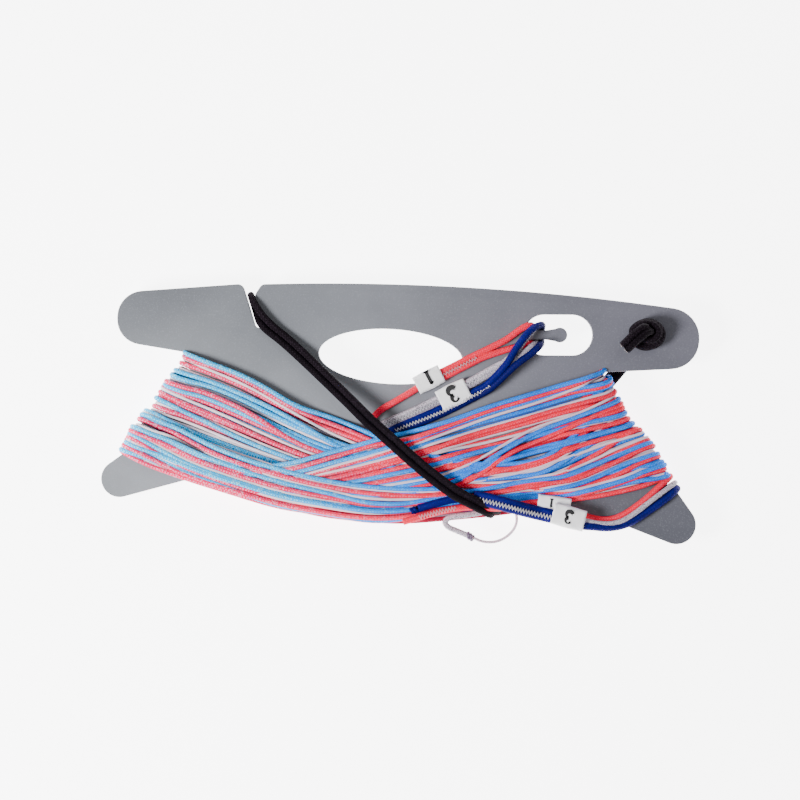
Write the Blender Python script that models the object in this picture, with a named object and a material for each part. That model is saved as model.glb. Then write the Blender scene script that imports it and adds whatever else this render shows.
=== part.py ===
"""Kite line winder with a wound three-line set, held by a doubled bungee.

The winder lies on its back: +X runs along its length, +Y towards the top edge with the notch,
+Z out of its front face. The origin is under the middle of the whole object, on the surface
that it lies on. Lengths in the lists are in millimetres; mm() turns them into metres.
"""

import math

import bmesh
import bpy
import numpy as np
from mathutils import Vector

# Driving dimensions, in millimetres
PLATE_BACK_Z = 9.8
PLATE_THICKNESS = 4.0
PLATE_EDGE_ROUND = 0.4
GAP = 0.3
WOUND_TOP_Z = 23.6
WOUND_EDGE_ROUND = 5.5
LEADER_DIAMETER = 2.5
LEADER_PITCH = 2.75
BUNGEE_DIAMETER = 3.2
LINE_DIAMETER = 1.5
TAG_WALL = 0.45

PLATE_FRONT_Z = PLATE_BACK_Z + PLATE_THICKNESS
LEADER_Z = PLATE_FRONT_Z + 2.9

# Finger hole, tongue hole and the bungee's hole
FINGER_HOLE_CENTRE = (-7.2, 24.2)
FINGER_HOLE_HALF = (33.0, 12.6)
TONGUE_HOLE_CENTRE = (69.25, 38.5)
TONGUE_HOLE_TILT = math.radians(3.0)
TONGUE_HOLE_HALF_LENGTH = 15.75
TONGUE_HOLE_RADIUS = 9.35
TONGUE_TIP_CENTRE = 0.75
TONGUE_TIP_RADIUS = 3.45
TONGUE_NECK = [(-5.8, 2.1), (-3.2, 2.5)]
TONGUE_ROOT_HALF = 2.5
BUNGEE_HOLE_CENTRE = (111.0, 40.9)
BUNGEE_HOLE_RADIUS = 3.5

# Plate outline, clockwise seen from the front: corner x, corner y, corner radius
PLATE_CORNERS = [
    (-134.0, 46.4, 12.0),     # left wing, top
    (-77.0, 53.7, 3.2),       # notch, left lip
    (-69.5, 33.4, 1.7),       # slot, left end of its floor
    (-65.9, 34.9, 1.7),       # slot, right end of its floor
    (-71.4, 48.6, 3.0),       # notch, right side of its throat
    (-68.3, 54.0, 3.0),       # notch, right lip
    (24.6, 61.4, 1120.0),     # long bow of the top edge
    (134.2, 52.9, 13.8),      # right wing, top
    (134.3, 27.0, 13.4),      # right wing, bottom
    (87.4, 22.2, 4.5),        # right arm meets the winding end
    (94.9, -11.3, 62.0),      # hollow of the right winding end
    (127.3, -29.5, 12.0),     # right horn, shoulder
    (154.2, -63.4, 9.0),      # right horn, tip
    (104.0, -47.0, 30.0),     # right horn, underside
    (74.0, -42.0, 40.0),      # right horn, where its underside meets the arch
    (-12.0, -9.5, 240.0),     # arch between the horns
    (-132.5, -49.4, 8.4),     # left horn, underside of its tip
    (-139.3, -36.9, 8.4),     # left horn, top of its tip
    (-104.9, -9.4, 76.0),     # hollow of the left winding end
    (-97.0, 20.2, 4.5),       # left wing meets the winding end
    (-133.6, 24.2, 11.6),     # left wing, bottom
]

# Outer shape of the wound lines, clockwise: corner x, corner y, corner radius
WOUND_CORNERS = [
    (-103.2, 21.2, 6.0),
    (-66.0, 9.6, 60.0),
    (-44.0, -2.6, 30.0),
    (-20.0, -8.2, 16.0),
    (-8.0, -17.0, 6.0),
    (40.0, 2.8, 120.0),
    (62.0, 13.0, 80.0),
    (93.4, 22.8, 6.0),
    (123.6, -20.8, 6.0),
    (104.0, -31.6, 18.0),
    (60.0, -41.0, 90.0),
    (20.0, -46.2, 90.0),
    (-10.0, -54.0, 30.0),
    (-42.0, -51.0, 60.0),
    (-100.0, -38.2, 90.0),
    (-133.0, -28.2, 6.0),
]

# Bed for the lower leaders along the winding's bottom edge
LEADER_BED = [(-2, -62), (-2, -36), (60, -33.9), (60, -62)]
LEADER_BED_Z = 17.0
TAG_BED_Z = 13.4
TAG_BED = [(53, -62), (53, -32.6), (84, -32.6), (84, -62)]

# Upper leaders: middle line of the sewn double stretch, then the leg to each side of the tongue
UPPER_LEADERS = {
    "upper_leader_red": {
        "double": [(-12.6, -1.2), (-4.0, 4.4), (17.3, 17.8), (30.0, 25.2), (38.2, 29.8)],
        "leg_up": [(44.5, 35.0), (50.0, 39.4), (54.6, 42.4)],
        "leg_down": [(45.5, 29.8), (51.0, 32.0), (55.2, 33.2)],
        "rise": 0.0,
        "neck_x": 58.2,
    },
    "upper_leader_grey": {
        "double": [(-3.0, -6.4), (14.0, 4.2), (30.0, 14.0), (35.5, 17.5), (39.5, 20.4)],
        "leg_up": [(45.4, 27.4), (50.4, 34.8), (56.2, 41.4)],
        "leg_down": [(45.6, 23.2), (51.6, 27.8), (57.2, 32.4)],
        "rise": 2.8,
        "neck_x": 61.3,
    },
    "upper_leader_navy": {
        "double": [(5.0, -8.0), (16.9, -0.6), (32.9, 9.2), (38.4, 12.7), (42.4, 15.6)],
        "leg_up": [(46.8, 25.2), (51.6, 35.4), (58.2, 42.6)],
        "leg_down": [(48.6, 21.0), (54.2, 26.4), (60.0, 31.8)],
        "rise": 5.6,
        "neck_x": 64.4,
    },
}

# Lower leaders, from the middle of the winding's bottom edge to the right horn and round it
LOWER_LEADERS = {
    "lower_leader_navy": [
        (9.6, -44.6, 22.1), (17.0, -42.0, 22.1), (25.7, -39.4, 22.1), (35.7, -38.2, 22.1),
        (44.0, -39.6, 22.1), (52.0, -41.4, 22.1), (61.0, -43.7, 22.1), (70.0, -46.1, 21.2),
        (79.0, -47.8, 20.8), (88.0, -49.2, 20.7), (97.4, -48.9, 18.6), (105.2, -46.4, 15.9),
        (114.8, -39.6, 15.6), (122.6, -33.6, 15.6), (128.2, -28.8, 14.8), (130.4, -26.9, 11.9),
        (128.6, -28.6, 8.6), (124.0, -32.0, 7.7), (119.0, -35.0, 7.7),
    ],
    "lower_leader_grey": [
        (70.0, -43.2, 20.9), (79.0, -44.9, 20.8), (88.0, -46.2, 20.7), (97.2, -45.7, 18.4), (104.4, -43.0, 15.6), (112.8, -36.6, 15.6), (120.4, -30.8, 15.6),
        (125.6, -26.7, 14.9), (127.9, -24.8, 11.9), (126.0, -26.6, 8.6), (121.6, -29.6, 7.7),
        (117.0, -32.4, 7.7),
    ],
    "lower_leader_red": [
        (3.0, -51.2, 18.7), (9.2, -49.0, 18.7), (18.7, -45.6, 18.8), (28.0, -43.2, 18.8),
        (37.0, -42.4, 18.8), (46.0, -42.4, 18.7), (54.0, -41.0, 18.6), (60.0, -39.4, 17.4),
        (65.0, -39.2, 16.5), (72.0, -40.0, 16.4), (79.0, -41.5, 16.4), (88.0, -43.0, 16.0), (96.4, -42.7, 15.6),
        (103.0, -39.8, 15.6), (110.6, -33.8, 15.6), (118.0, -28.2, 15.6), (122.9, -24.5, 14.9),
        (125.2, -22.8, 11.9), (123.4, -24.4, 8.6), (119.2, -27.4, 7.7), (114.6, -30.2, 7.7),
    ],
}

LOWER_GREY_END = [
    (30.2, -47.2, 17.2), (26.6, -47.9, 17.2), (23.6, -49.0, 17.0), (22.3, -50.7, 16.6),
    (23.9, -52.6, 16.2), (27.6, -54.0, 15.8), (31.0, -55.2, 15.4),
]
GREY_KNOT_CENTRE = (34.0, -56.3, 15.2)
PIGTAIL = [
    (36.6, -57.2, 14.8), (39.0, -58.1, 14.2), (42.0, -58.5, 13.7), (45.4, -58.2, 13.4),
    (48.6, -57.0, 13.4), (51.4, -55.0, 13.6), (53.6, -52.4, 14.0), (54.8, -49.6, 14.6),
    (55.0, -47.0, 15.4),
]

# Middle of the two bungee strands, and the direction in degrees from one to the other
BUNGEE_BACK = [
    (111.0, 40.9, 13.7, -40), (111.0, 40.9, 11.4, -40), (110.7, 40.5, 8.8, -40),
    (108.8, 38.2, 7.3, -40), (105.4, 33.6, 6.8, -40), (101.0, 27.6, 6.2, -40),
    (95.6, 20.4, 4.8, -41), (89.6, 13.0, 3.0, -41), (83.0, 5.4, 2.0, -41), (74.0, -4.8, 1.9, -41),
    (64.0, -16.0, 1.9, -41), (54.0, -27.2, 1.9, -38), (47.0, -35.6, 2.1, -30),
    (42.8, -41.0, 3.4, -16), (40.2, -44.8, 6.2, 0), (39.2, -46.9, 9.6, 8),
]
BUNGEE_FRONT = [
    (38.8, -47.4, 10.9, 10), (38.2, -48.1, 14.6, 18), (37.2, -47.4, 18.8, 28),
    (35.0, -44.8, 22.8, 40), (30.6, -40.0, 25.3, 50), (24.0, -35.2, 25.7, 52),
    (15.0, -29.4, 25.7, 52), (5.0, -22.0, 25.7, 52), (-6.0, -13.2, 25.6, 52),
    (-16.0, -5.2, 25.2, 52), (-26.0, 3.6, 23.0, 52), (-40.0, 15.6, 19.4, 53),
    (-52.0, 25.6, 17.0, 54), (-59.6, 31.2, 16.0, 56),
]
BUNGEE_TAIL = [
    (105.6, 42.8, 26.6, -46), (103.6, 40.4, 27.0, -46), (101.2, 37.4, 26.8, -46),
    (98.9, 34.4, 26.2, -46),
]
LOOP_END = [
    (-59.4, 33.0, 16.2), (-63.4, 36.2, 16.4), (-66.8, 39.4, 16.5), (-69.4, 42.6, 16.2),
    (-71.6, 45.8, 15.2), (-72.8, 48.2, 13.4), (-73.0, 48.6, 11.2), (-72.5, 47.0, 9.2),
    (-71.5, 44.4, 9.0), (-70.5, 41.8, 10.0), (-69.4, 38.9, 12.0), (-68.4, 36.6, 14.2),
    (-66.6, 34.6, 15.6), (-64.0, 32.6, 15.8), (-61.4, 30.6, 15.8),
]
BUNGEE_KNOT_CENTRE = (110.4, 41.0, 19.9)
BUNGEE_KNOT_HALF = (8.0, 7.2, 5.7)

# Tags of folded label tape: middle, direction along the leader in degrees, space inside
TAG_LENGTH = 13.4
TAGS = {
    "upper_tag_1": ((10.6, 13.6, LEADER_Z), 32.2, (6.0, 3.2)),
    "upper_tag_3": ((23.6, 6.6, LEADER_Z), 31.6, (11.6, 3.2)),
    "lower_tag_1": ((71.4, -40.0, 16.45), -10.0, (6.0, 3.2)),
    "lower_tag_3": ((80.4, -46.6, 20.7), -9.6, (7.6, 3.2)),
}

# Middle of the whole object's footprint, which becomes the origin
FOOTPRINT_MIDDLE = (0.19, -0.65, 0.0)

GREY = (0.27, 0.28, 0.31, 1.0)
RED = (0.85, 0.10, 0.16, 1.0)
NAVY = (0.02, 0.02, 0.22, 1.0)
PALE_GREY = (0.55, 0.53, 0.56, 1.0)
BLACK = (0.012, 0.010, 0.012, 1.0)
WHITE = (0.85, 0.84, 0.86, 1.0)
MIXED = (0.45, 0.30, 0.50, 1.0)


def mm(point):
    """A point in millimetres as a Vector in metres."""
    return Vector(point) * 0.001


def clear_scene():
    for obj in list(bpy.data.objects):
        bpy.data.objects.remove(obj, do_unlink=True)


def make_collection(name):
    collection = bpy.data.collections.new(name)
    bpy.context.scene.collection.children.link(collection)
    return collection


def make_material(name, colour, roughness):
    material = bpy.data.materials.new(name)
    material.use_nodes = True
    shader = material.node_tree.nodes["Principled BSDF"]
    shader.inputs["Base Color"].default_value = colour
    shader.inputs["Roughness"].default_value = roughness
    shader.inputs["Metallic"].default_value = 0.0
    return material


def add_object(name, data, collection, material=None):
    obj = bpy.data.objects.new(name, data)
    collection.objects.link(obj)
    if material is not None:
        data.materials.append(material)
    return obj


def rounded_outline(corners, step=math.radians(11)):
    """Points of a closed outline whose corners are arcs of the given radii, tangent to both sides."""
    points = []
    count = len(corners)
    for index, (x, y, radius) in enumerate(corners):
        corner = Vector((x, y))
        to_last = (Vector(corners[index - 1][:2]) - corner).normalized()
        to_next = (Vector(corners[(index + 1) % count][:2]) - corner).normalized()
        half = to_last.angle(to_next) / 2
        centre = corner + (to_last + to_next).normalized() * radius / math.sin(half)
        start = corner + to_last * radius / math.tan(half) - centre
        end = corner + to_next * radius / math.tan(half) - centre
        turn = start.angle_signed(end)
        pieces = max(2, math.ceil(abs(turn) / step), math.ceil(abs(turn) * radius / 9))
        first = math.atan2(start.y, start.x)
        for piece in range(pieces + 1):
            angle = first - turn * piece / pieces
            points.append((centre.x + radius * math.cos(angle), centre.y + radius * math.sin(angle)))
    return points


def arc(centre, radius, first, last, pieces):
    """Points on an arc between two angles in degrees."""
    angles = np.radians(np.linspace(first, last, pieces + 1))
    return [(centre[0] + radius * math.cos(a), centre[1] + radius * math.sin(a)) for a in angles]


def ellipse(centre, half, pieces):
    angles = [2 * math.pi * piece / pieces for piece in range(pieces)]
    return [(centre[0] + half[0] * math.cos(a), centre[1] + half[1] * math.sin(a)) for a in angles]


def tongue_hole_outline():
    """A hole with round ends, and the tongue that grows from its left end."""
    reach = TONGUE_HOLE_HALF_LENGTH - TONGUE_HOLE_RADIUS
    root_angle = math.degrees(math.asin(TONGUE_ROOT_HALF / TONGUE_HOLE_RADIUS))
    tip_angle = 122
    local = arc((-reach, 0), TONGUE_HOLE_RADIUS, 180 - root_angle, 90, 7)
    local += arc((reach, 0), TONGUE_HOLE_RADIUS, 90, -90, 16)
    local += arc((-reach, 0), TONGUE_HOLE_RADIUS, -90, -180 + root_angle, 7)
    local += [(u, -half) for u, half in TONGUE_NECK]
    local += arc((TONGUE_TIP_CENTRE, 0), TONGUE_TIP_RADIUS, -tip_angle, tip_angle, 14)
    local += TONGUE_NECK[::-1]
    cos, sin = math.cos(TONGUE_HOLE_TILT), math.sin(TONGUE_HOLE_TILT)
    x0, y0 = TONGUE_HOLE_CENTRE
    return [(x0 + u * cos - v * sin, y0 + u * sin + v * cos) for u, v in local]


def flat_curve(name, outlines, low_z, high_z, collection, material=None, edge_round=0.0):
    """A filled outline, with any inner outlines as holes, thick from low_z to high_z."""
    curve = bpy.data.curves.new(name, "CURVE")
    curve.dimensions = "2D"
    curve.fill_mode = "BOTH"
    curve.extrude = (high_z - low_z) / 2 * 0.001 - edge_round * 0.001
    curve.bevel_depth = edge_round * 0.001
    curve.offset = -edge_round * 0.001
    curve.bevel_resolution = 1
    for outline in outlines:
        spline = curve.splines.new("POLY")
        spline.points.add(len(outline) - 1)
        for point, (x, y) in zip(spline.points, outline):
            point.co = (x * 0.001, y * 0.001, 0.0, 1.0)
        spline.use_cyclic_u = True
    obj = add_object(name, curve, collection, material)
    obj.location.z = (low_z + high_z) / 2 * 0.001
    return obj


def smooth_path(points, spacing):
    """Evenly spaced points, in metres, along a smooth curve through the given ones."""
    knots = [mm(point) for point in points]
    knots = [knots[0] * 2 - knots[1]] + knots + [knots[-1] * 2 - knots[-2]]
    dense = []
    for index in range(1, len(knots) - 2):
        before, start, end, after = knots[index - 1:index + 3]
        for part in range(24):
            t = part / 24
            dense.append(0.5 * (2 * start + (end - before) * t
                                + (2 * before - 5 * start + 4 * end - after) * t * t
                                + (3 * start - before - 3 * end + after) * t * t * t))
    dense.append(knots[-2])
    lengths = [0.0]
    for last, point in zip(dense, dense[1:]):
        lengths.append(lengths[-1] + (point - last).length)
    count = max(2, round(lengths[-1] / (spacing * 0.001)) + 1)
    targets = np.linspace(0, lengths[-1], count)
    columns = [np.interp(targets, lengths, [point[axis] for point in dense]) for axis in range(3)]
    return [Vector(values) for values in zip(*columns)]


def tube(name, points, diameter, collection, material=None, spacing=None):
    """A cord's tube along a smooth curve through the points."""
    curve = bpy.data.curves.new(name, "CURVE")
    curve.dimensions = "3D"
    curve.twist_mode = "MINIMUM"
    curve.use_fill_caps = True
    curve.bevel_depth = diameter * 0.0005
    curve.bevel_resolution = 2
    spline = curve.splines.new("POLY")
    path = smooth_path(points, spacing or diameter * 2)
    spline.points.add(len(path) - 1)
    for point, place in zip(spline.points, path):
        point.co = (*place, 1.0)
    return add_object(name, curve, collection, material)


def strand(route, side):
    """One of the bungee's two strands: side is 1 or -1."""
    offset = side * (BUNGEE_DIAMETER + GAP) / 2
    return [(x + offset * math.cos(math.radians(turn)), y + offset * math.sin(math.radians(turn)), z)
            for x, y, z, turn in route]


def to_mesh(obj):
    """Replace a curve object by a closed mesh object of the same name and place."""
    name = obj.name
    collection = obj.users_collection[0]
    bpy.context.view_layer.update()
    matrix = obj.matrix_world.copy()
    evaluated = obj.evaluated_get(bpy.context.evaluated_depsgraph_get())
    mesh = bpy.data.meshes.new_from_object(evaluated)
    cage = bmesh.new()
    cage.from_mesh(mesh)
    bmesh.ops.remove_doubles(cage, verts=cage.verts, dist=0.000002)
    bmesh.ops.recalc_face_normals(cage, faces=cage.faces)
    if cage.calc_volume(signed=True) < 0:
        bmesh.ops.reverse_faces(cage, faces=cage.faces)
    cage.to_mesh(mesh)
    cage.free()
    bpy.data.objects.remove(obj, do_unlink=True)
    result = bpy.data.objects.new(name, mesh)
    collection.objects.link(result)
    result.matrix_world = matrix
    return result


def cut(obj, cutter):
    cutter.hide_render = True
    cutter.display_type = "WIRE"
    modifier = obj.modifiers.new(cutter.name, "BOOLEAN")
    modifier.operation = "DIFFERENCE"
    modifier.solver = "EXACT"
    modifier.object = cutter


def make_plate(parts, material):
    outlines = [
        rounded_outline(PLATE_CORNERS),
        ellipse(FINGER_HOLE_CENTRE, FINGER_HOLE_HALF, 48),
        tongue_hole_outline(),
        ellipse(BUNGEE_HOLE_CENTRE, (BUNGEE_HOLE_RADIUS,) * 2, 20),
    ]
    plate = flat_curve("winder_plate", outlines, PLATE_BACK_Z, PLATE_FRONT_Z, parts, material,
                       PLATE_EDGE_ROUND)
    return to_mesh(plate)


def make_wound_lines(parts, cutters, material):
    """The outer shape of the three wound lines, open round the plate, with beds for what lies on it."""
    outline = rounded_outline(WOUND_CORNERS, math.radians(20))
    wound = flat_curve("wound_flying_lines", [outline], 0.0, WOUND_TOP_Z, parts, material,
                       WOUND_EDGE_ROUND)
    wound = to_mesh(wound)
    space = flat_curve("space_for_plate", [rounded_outline(PLATE_CORNERS)], PLATE_BACK_Z - GAP,
                       PLATE_FRONT_Z + GAP, cutters)
    space.data.offset = GAP * 0.001
    cut(wound, to_mesh(space))
    for name, outline, floor in (("bed_for_lower_leaders", LEADER_BED, LEADER_BED_Z),
                                 ("bed_for_lower_tags", TAG_BED, TAG_BED_Z)):
        bed = flat_curve(name, [outline], floor, WOUND_TOP_Z + 2, cutters)
        cut(wound, to_mesh(bed))
    for side in (-1, 1):
        groove = tube("groove_for_bungee", strand(BUNGEE_BACK[4:], side),
                      BUNGEE_DIAMETER + 2 * GAP + 0.3, cutters, spacing=5.0)
        cut(wound, to_mesh(groove))
    return wound


def side_of(points, offset):
    """The points moved sideways in XY, to the left of their direction where offset is positive."""
    places = [Vector(point) for point in points]
    moved = []
    for index, place in enumerate(places):
        ahead = places[min(index + 1, len(places) - 1)] - places[max(index - 1, 0)]
        normal = Vector((-ahead.y, ahead.x)).normalized()
        moved.append(place + normal * offset)
    return moved


def upper_leader_path(route):
    """Out along one sewn strand, round the back of the tongue's neck and back along the other."""
    double = [Vector(point) for point in route["double"]]
    count = len(double)
    heights = [LEADER_Z] * (count - 2) + [LEADER_Z + route["rise"] * 0.5, LEADER_Z + route["rise"]]
    top = LEADER_Z + route["rise"]
    out = [(p.x, p.y, z) for p, z in zip(side_of(double, LEADER_PITCH / 2), heights)]
    back = [(p.x, p.y, z) for p, z in zip(side_of(double, -LEADER_PITCH / 2), heights)]
    leg_up = [(x, y, top) for x, y in route["leg_up"]]
    leg_down = [(x, y, top) for x, y in route["leg_down"]]
    neck_x = route["neck_x"]
    neck_y = TONGUE_HOLE_CENTRE[1] + (neck_x - TONGUE_HOLE_CENTRE[0]) * math.tan(TONGUE_HOLE_TILT)
    side = TONGUE_ROOT_HALF + LEADER_DIAMETER / 2 + GAP
    behind = PLATE_BACK_Z - LEADER_DIAMETER / 2 - 2 * GAP
    middle = PLATE_BACK_Z + PLATE_THICKNESS / 2
    half = [
        (neck_x - 0.6, side + 1.0, PLATE_FRONT_Z + 1.8),
        (neck_x, side, middle),
        (neck_x, side - 0.1, PLATE_BACK_Z),
        (neck_x, side * 0.8, behind + 0.3),
        (neck_x, side * 0.35, behind),
    ]
    neck = [(x, neck_y + y, z) for x, y, z in half] + [(x, neck_y - y, z) for x, y, z in half[::-1]]
    return out + leg_up + neck + leg_down[::-1] + back[::-1]


def capsule(width, height, pieces):
    """A flat loop with round sides."""
    radius = height / 2
    reach = width / 2 - radius
    return arc((reach, 0), radius, -90, 90, pieces) + arc((-reach, 0), radius, 90, 270, pieces)


def make_tag(name, centre, direction, space, parts, material):
    """A flattened loop of label tape round a leader; space is the width and height inside it."""
    outer = capsule(space[0] + 2 * TAG_WALL, space[1] + 2 * TAG_WALL, 6)
    tag = flat_curve(name, [outer, capsule(*space, 6)], -TAG_LENGTH / 2, TAG_LENGTH / 2, parts, material)
    tag.location = mm(centre)
    tag.rotation_euler = (math.radians(90), 0, math.radians(direction + 90))
    return to_mesh(tag)


def make_lump(name, centre, half, parts, material):
    """A pulled-tight knot as one rounded lump."""
    mesh = bpy.data.meshes.new(name)
    cage = bmesh.new()
    bmesh.ops.create_uvsphere(cage, u_segments=16, v_segments=9, radius=0.001)
    bmesh.ops.scale(cage, vec=half, verts=cage.verts)
    cage.to_mesh(mesh)
    cage.free()
    mesh.shade_smooth()
    lump = add_object(name, mesh, parts, material)
    lump.location = mm(centre)
    return lump


def main():
    clear_scene()
    parts = make_collection("kite_line_winder")
    cutters = make_collection("cutters")
    plastic = make_material("plate_plastic", GREY, 0.5)
    wound = make_material("wound_lines", MIXED, 0.8)
    elastic = make_material("bungee_elastic", BLACK, 0.75)
    label = make_material("label_tape", WHITE, 0.6)
    sleeves = {
        "red": make_material("red_sleeve", RED, 0.75),
        "grey": make_material("grey_sleeve", PALE_GREY, 0.75),
        "navy": make_material("navy_sleeve", NAVY, 0.75),
    }

    make_plate(parts, plastic)
    make_wound_lines(parts, cutters, wound)

    for name, route in UPPER_LEADERS.items():
        tube(name, upper_leader_path(route), LEADER_DIAMETER, parts, sleeves[name.split("_")[-1]],
             spacing=3.2)
    for name, route in LOWER_LEADERS.items():
        tube(name, route, LEADER_DIAMETER, parts, sleeves[name.split("_")[-1]], spacing=4.5)
    tube("lower_grey_sleeve_end", LOWER_GREY_END, LEADER_DIAMETER, parts, sleeves["grey"], spacing=2.0)
    tube("grey_line_pigtail", PIGTAIL, LINE_DIAMETER, parts, sleeves["grey"], spacing=2.2)
    make_lump("grey_stopper_knot", GREY_KNOT_CENTRE, (1.9, 1.7, 1.6), parts, sleeves["grey"])
    make_lump("navy_end_knot", (7.0, -46.4, 20.8), (1.6, 1.6, 1.5), parts, sleeves["navy"])

    for letter, side in (("a", 1), ("b", -1)):
        tube("bungee_back_strand_" + letter, strand(BUNGEE_BACK, side), BUNGEE_DIAMETER, parts, elastic, 4.2)
        tube("bungee_front_strand_" + letter, strand(BUNGEE_FRONT, side), BUNGEE_DIAMETER, parts, elastic, 5.0)
        tube("bungee_tail_" + letter, strand(BUNGEE_TAIL, side), BUNGEE_DIAMETER, parts, elastic, 3.4)
    tube("bungee_loop_end", LOOP_END, BUNGEE_DIAMETER, parts, elastic, 2.2)
    for name, (centre, direction, space) in TAGS.items():
        make_tag(name, centre, direction, space, parts, label)
    make_lump("bungee_knot", BUNGEE_KNOT_CENTRE, BUNGEE_KNOT_HALF, parts, elastic)

    for obj in list(parts.objects) + list(cutters.objects):
        obj.location -= mm(FOOTPRINT_MIDDLE)


main()
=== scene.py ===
"""Looks of the kite line winder: wound lines, sleeved leaders, tags, bungee, plate, light and camera.

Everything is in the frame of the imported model: X along the winder, Y towards the notched edge,
Z out of the front face. Routes are written in millimetres and turned into metres by mm().
"""

import math

import bmesh
import bpy
import numpy as np
from mathutils import Matrix, Vector


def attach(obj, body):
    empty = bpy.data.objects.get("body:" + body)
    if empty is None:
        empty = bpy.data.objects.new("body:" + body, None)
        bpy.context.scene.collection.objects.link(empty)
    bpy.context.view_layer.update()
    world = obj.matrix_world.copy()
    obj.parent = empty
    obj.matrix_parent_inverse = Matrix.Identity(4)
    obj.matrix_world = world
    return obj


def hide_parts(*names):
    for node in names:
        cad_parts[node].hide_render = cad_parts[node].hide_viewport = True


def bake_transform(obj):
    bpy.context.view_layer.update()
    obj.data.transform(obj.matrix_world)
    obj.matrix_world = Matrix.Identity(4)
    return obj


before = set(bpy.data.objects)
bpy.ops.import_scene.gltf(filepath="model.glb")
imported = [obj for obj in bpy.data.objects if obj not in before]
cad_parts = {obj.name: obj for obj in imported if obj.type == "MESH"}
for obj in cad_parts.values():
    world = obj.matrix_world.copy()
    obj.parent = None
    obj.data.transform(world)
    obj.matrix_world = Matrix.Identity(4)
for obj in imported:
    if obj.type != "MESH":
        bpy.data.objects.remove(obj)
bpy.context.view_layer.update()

# ---------------------------------------------------------------- sizes, in millimetres

MIDDLE = np.array([0.19, -0.65, 0.0])        # middle of the footprint in the routes' coordinates
PLATE_BACK = 9.8
PLATE_FRONT = 13.8
PLATE_MIDDLE = (PLATE_FRONT + PLATE_BACK) / 2
BESIDE_PLATE = 13.0                          # floor of the turns where there is no plate under them
DEPTH = 8.5                                  # thickest the turns lie on either face
LINE_RADII = {"red": 1.15, "blue": 1.15, "grey": 0.7}
UPPER_SLEEVES = {"red": 3.1, "grey": 2.7, "navy": 3.3}       # diameters
LOWER_SLEEVES = {"red": 3.1, "grey": 2.4, "navy": 3.6}
UPPER_SEWN = {"red": 2.6, "grey": 2.0, "navy": 2.5}          # from leg to leg of the sewn double stretches
LOWER_SEWN = 2.9
BUNGEE_DIAMETER = 3.3
PIGTAIL_DIAMETER = 1.3
TAPE = 0.32                                  # thickness of the label tape

SPACING = 0.5                                # of the points along a wound line
EASING = 12                                  # points over which its bends are eased
PITCH = 1.95                                 # from line to line where a turn's three lie side by side
SCATTER = 0.4                                # of a line about its place at an end, and of its wave between them
WAVE = 0.2
TRIES = 5                                    # at finding a line's lowest pass
TOPMOST_STEP = 1.8                           # lines of the topmost turn lie this much under each other
BOTTOM_TURNS = 4                             # turns that still move far to find their groove

# Winding ends of the plate: corners before, at and after each hollow, and the hollow's radius
LEFT_END = ((-97.0, 20.2), (-104.9, -9.4), (-139.3, -36.9), 76.0)
RIGHT_END = ((87.4, 22.2), (94.9, -11.3), (127.3, -29.5), 62.0)

# Outer edge of the wound lines where they turn round each end
LEFT_OUTLINE = [(-102.0, 23.0), (-107.6, 13.1), (-112.6, 5.0), (-117.6, -2.7), (-121.8, -10.8), (-125.6, -20.2),
                (-129.0, -25.9), (-131.5, -31.0)]
RIGHT_OUTLINE = [(91.6, 24.5), (96.3, 17.5), (99.4, 11.2), (104.5, 3.2), (112.0, -2.8), (115.2, -8.6), (119.3, -16.7),
                 (123.2, -25.2), (126.0, -31.0)]

# ---------------------------------------------------------------- points and lines

def mm(point):
    """A route point in millimetres as a point of the model's frame in metres."""
    return (np.asarray(point, dtype=float) - MIDDLE) * 0.001


def unit(vector):
    """The vector's direction, 1 long."""
    return vector / np.linalg.norm(vector)


def distances(points):
    """How far along the line each of its points is."""
    return np.concatenate([[0], np.cumsum(np.linalg.norm(np.diff(points, axis=0), axis=1))])


def at_x(x, line):
    """Y of a flat line at these X."""
    return np.interp(x, line[:, 0], line[:, 1])


def through(points, spacing=SPACING):
    """Evenly spaced points on a smooth curve through the given ones."""
    knots = np.asarray(points, dtype=float)
    knots = np.vstack([2 * knots[0] - knots[1], knots, 2 * knots[-1] - knots[-2]])
    t = np.linspace(0, 1, 24, endpoint=False)[:, None]
    parts = []
    for before, start, end, after in zip(knots, knots[1:], knots[2:], knots[3:]):
        parts.append(0.5 * (2 * start + (end - before) * t
                            + (2 * before - 5 * start + 4 * end - after) * t ** 2
                            + (3 * start - before - 3 * end + after) * t ** 3))
    return evenly(np.vstack(parts + [knots[-2][None]]), spacing)


def evenly(points, spacing=SPACING):
    """The same line at even spacing."""
    along = distances(points)
    targets = np.linspace(0, along[-1], max(3, int(round(along[-1] / spacing)) + 1))
    return np.stack([np.interp(targets, along, column) for column in points.T], 1)


def sampled(points, count):
    """Evenly spread points along a smooth curve through these."""
    curve = through(points, 1.0)
    return curve[(np.linspace(0, 1, count) * (len(curve) - 1)).astype(int)]


def softened(values, width):
    """Values smoothed along their first axis by about this many samples, ends kept."""
    width = min(width, (len(values) - 1) / 2)
    if width < 0.5:
        return values
    reach = int(width * 2)
    kernel = np.exp(-0.5 * (np.arange(-reach, reach + 1) / width) ** 2)
    kernel /= kernel.sum()
    columns = values.reshape(len(values), -1)
    padded = np.vstack([2 * columns[0] - columns[reach:0:-1], columns,
                        2 * columns[-1] - columns[-2:-reach - 2:-1]])
    out = np.stack([np.convolve(column, kernel, "valid") for column in padded.T], 1)
    return out.reshape(values.shape)


def sideways(line):
    """Unit vectors across a flat line, to the left of its direction."""
    ahead = np.gradient(line, axis=0)
    ahead /= np.linalg.norm(ahead, axis=1)[:, None]
    return np.stack([-ahead[:, 1], ahead[:, 0]], 1)


def ramp(values, low, high):
    """0 up to low, 1 from high, smooth between them."""
    share = np.clip((values - low) / (high - low), 0, 1)
    return share * share * (3 - 2 * share)


# ---------------------------------------------------------------- winding

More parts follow.
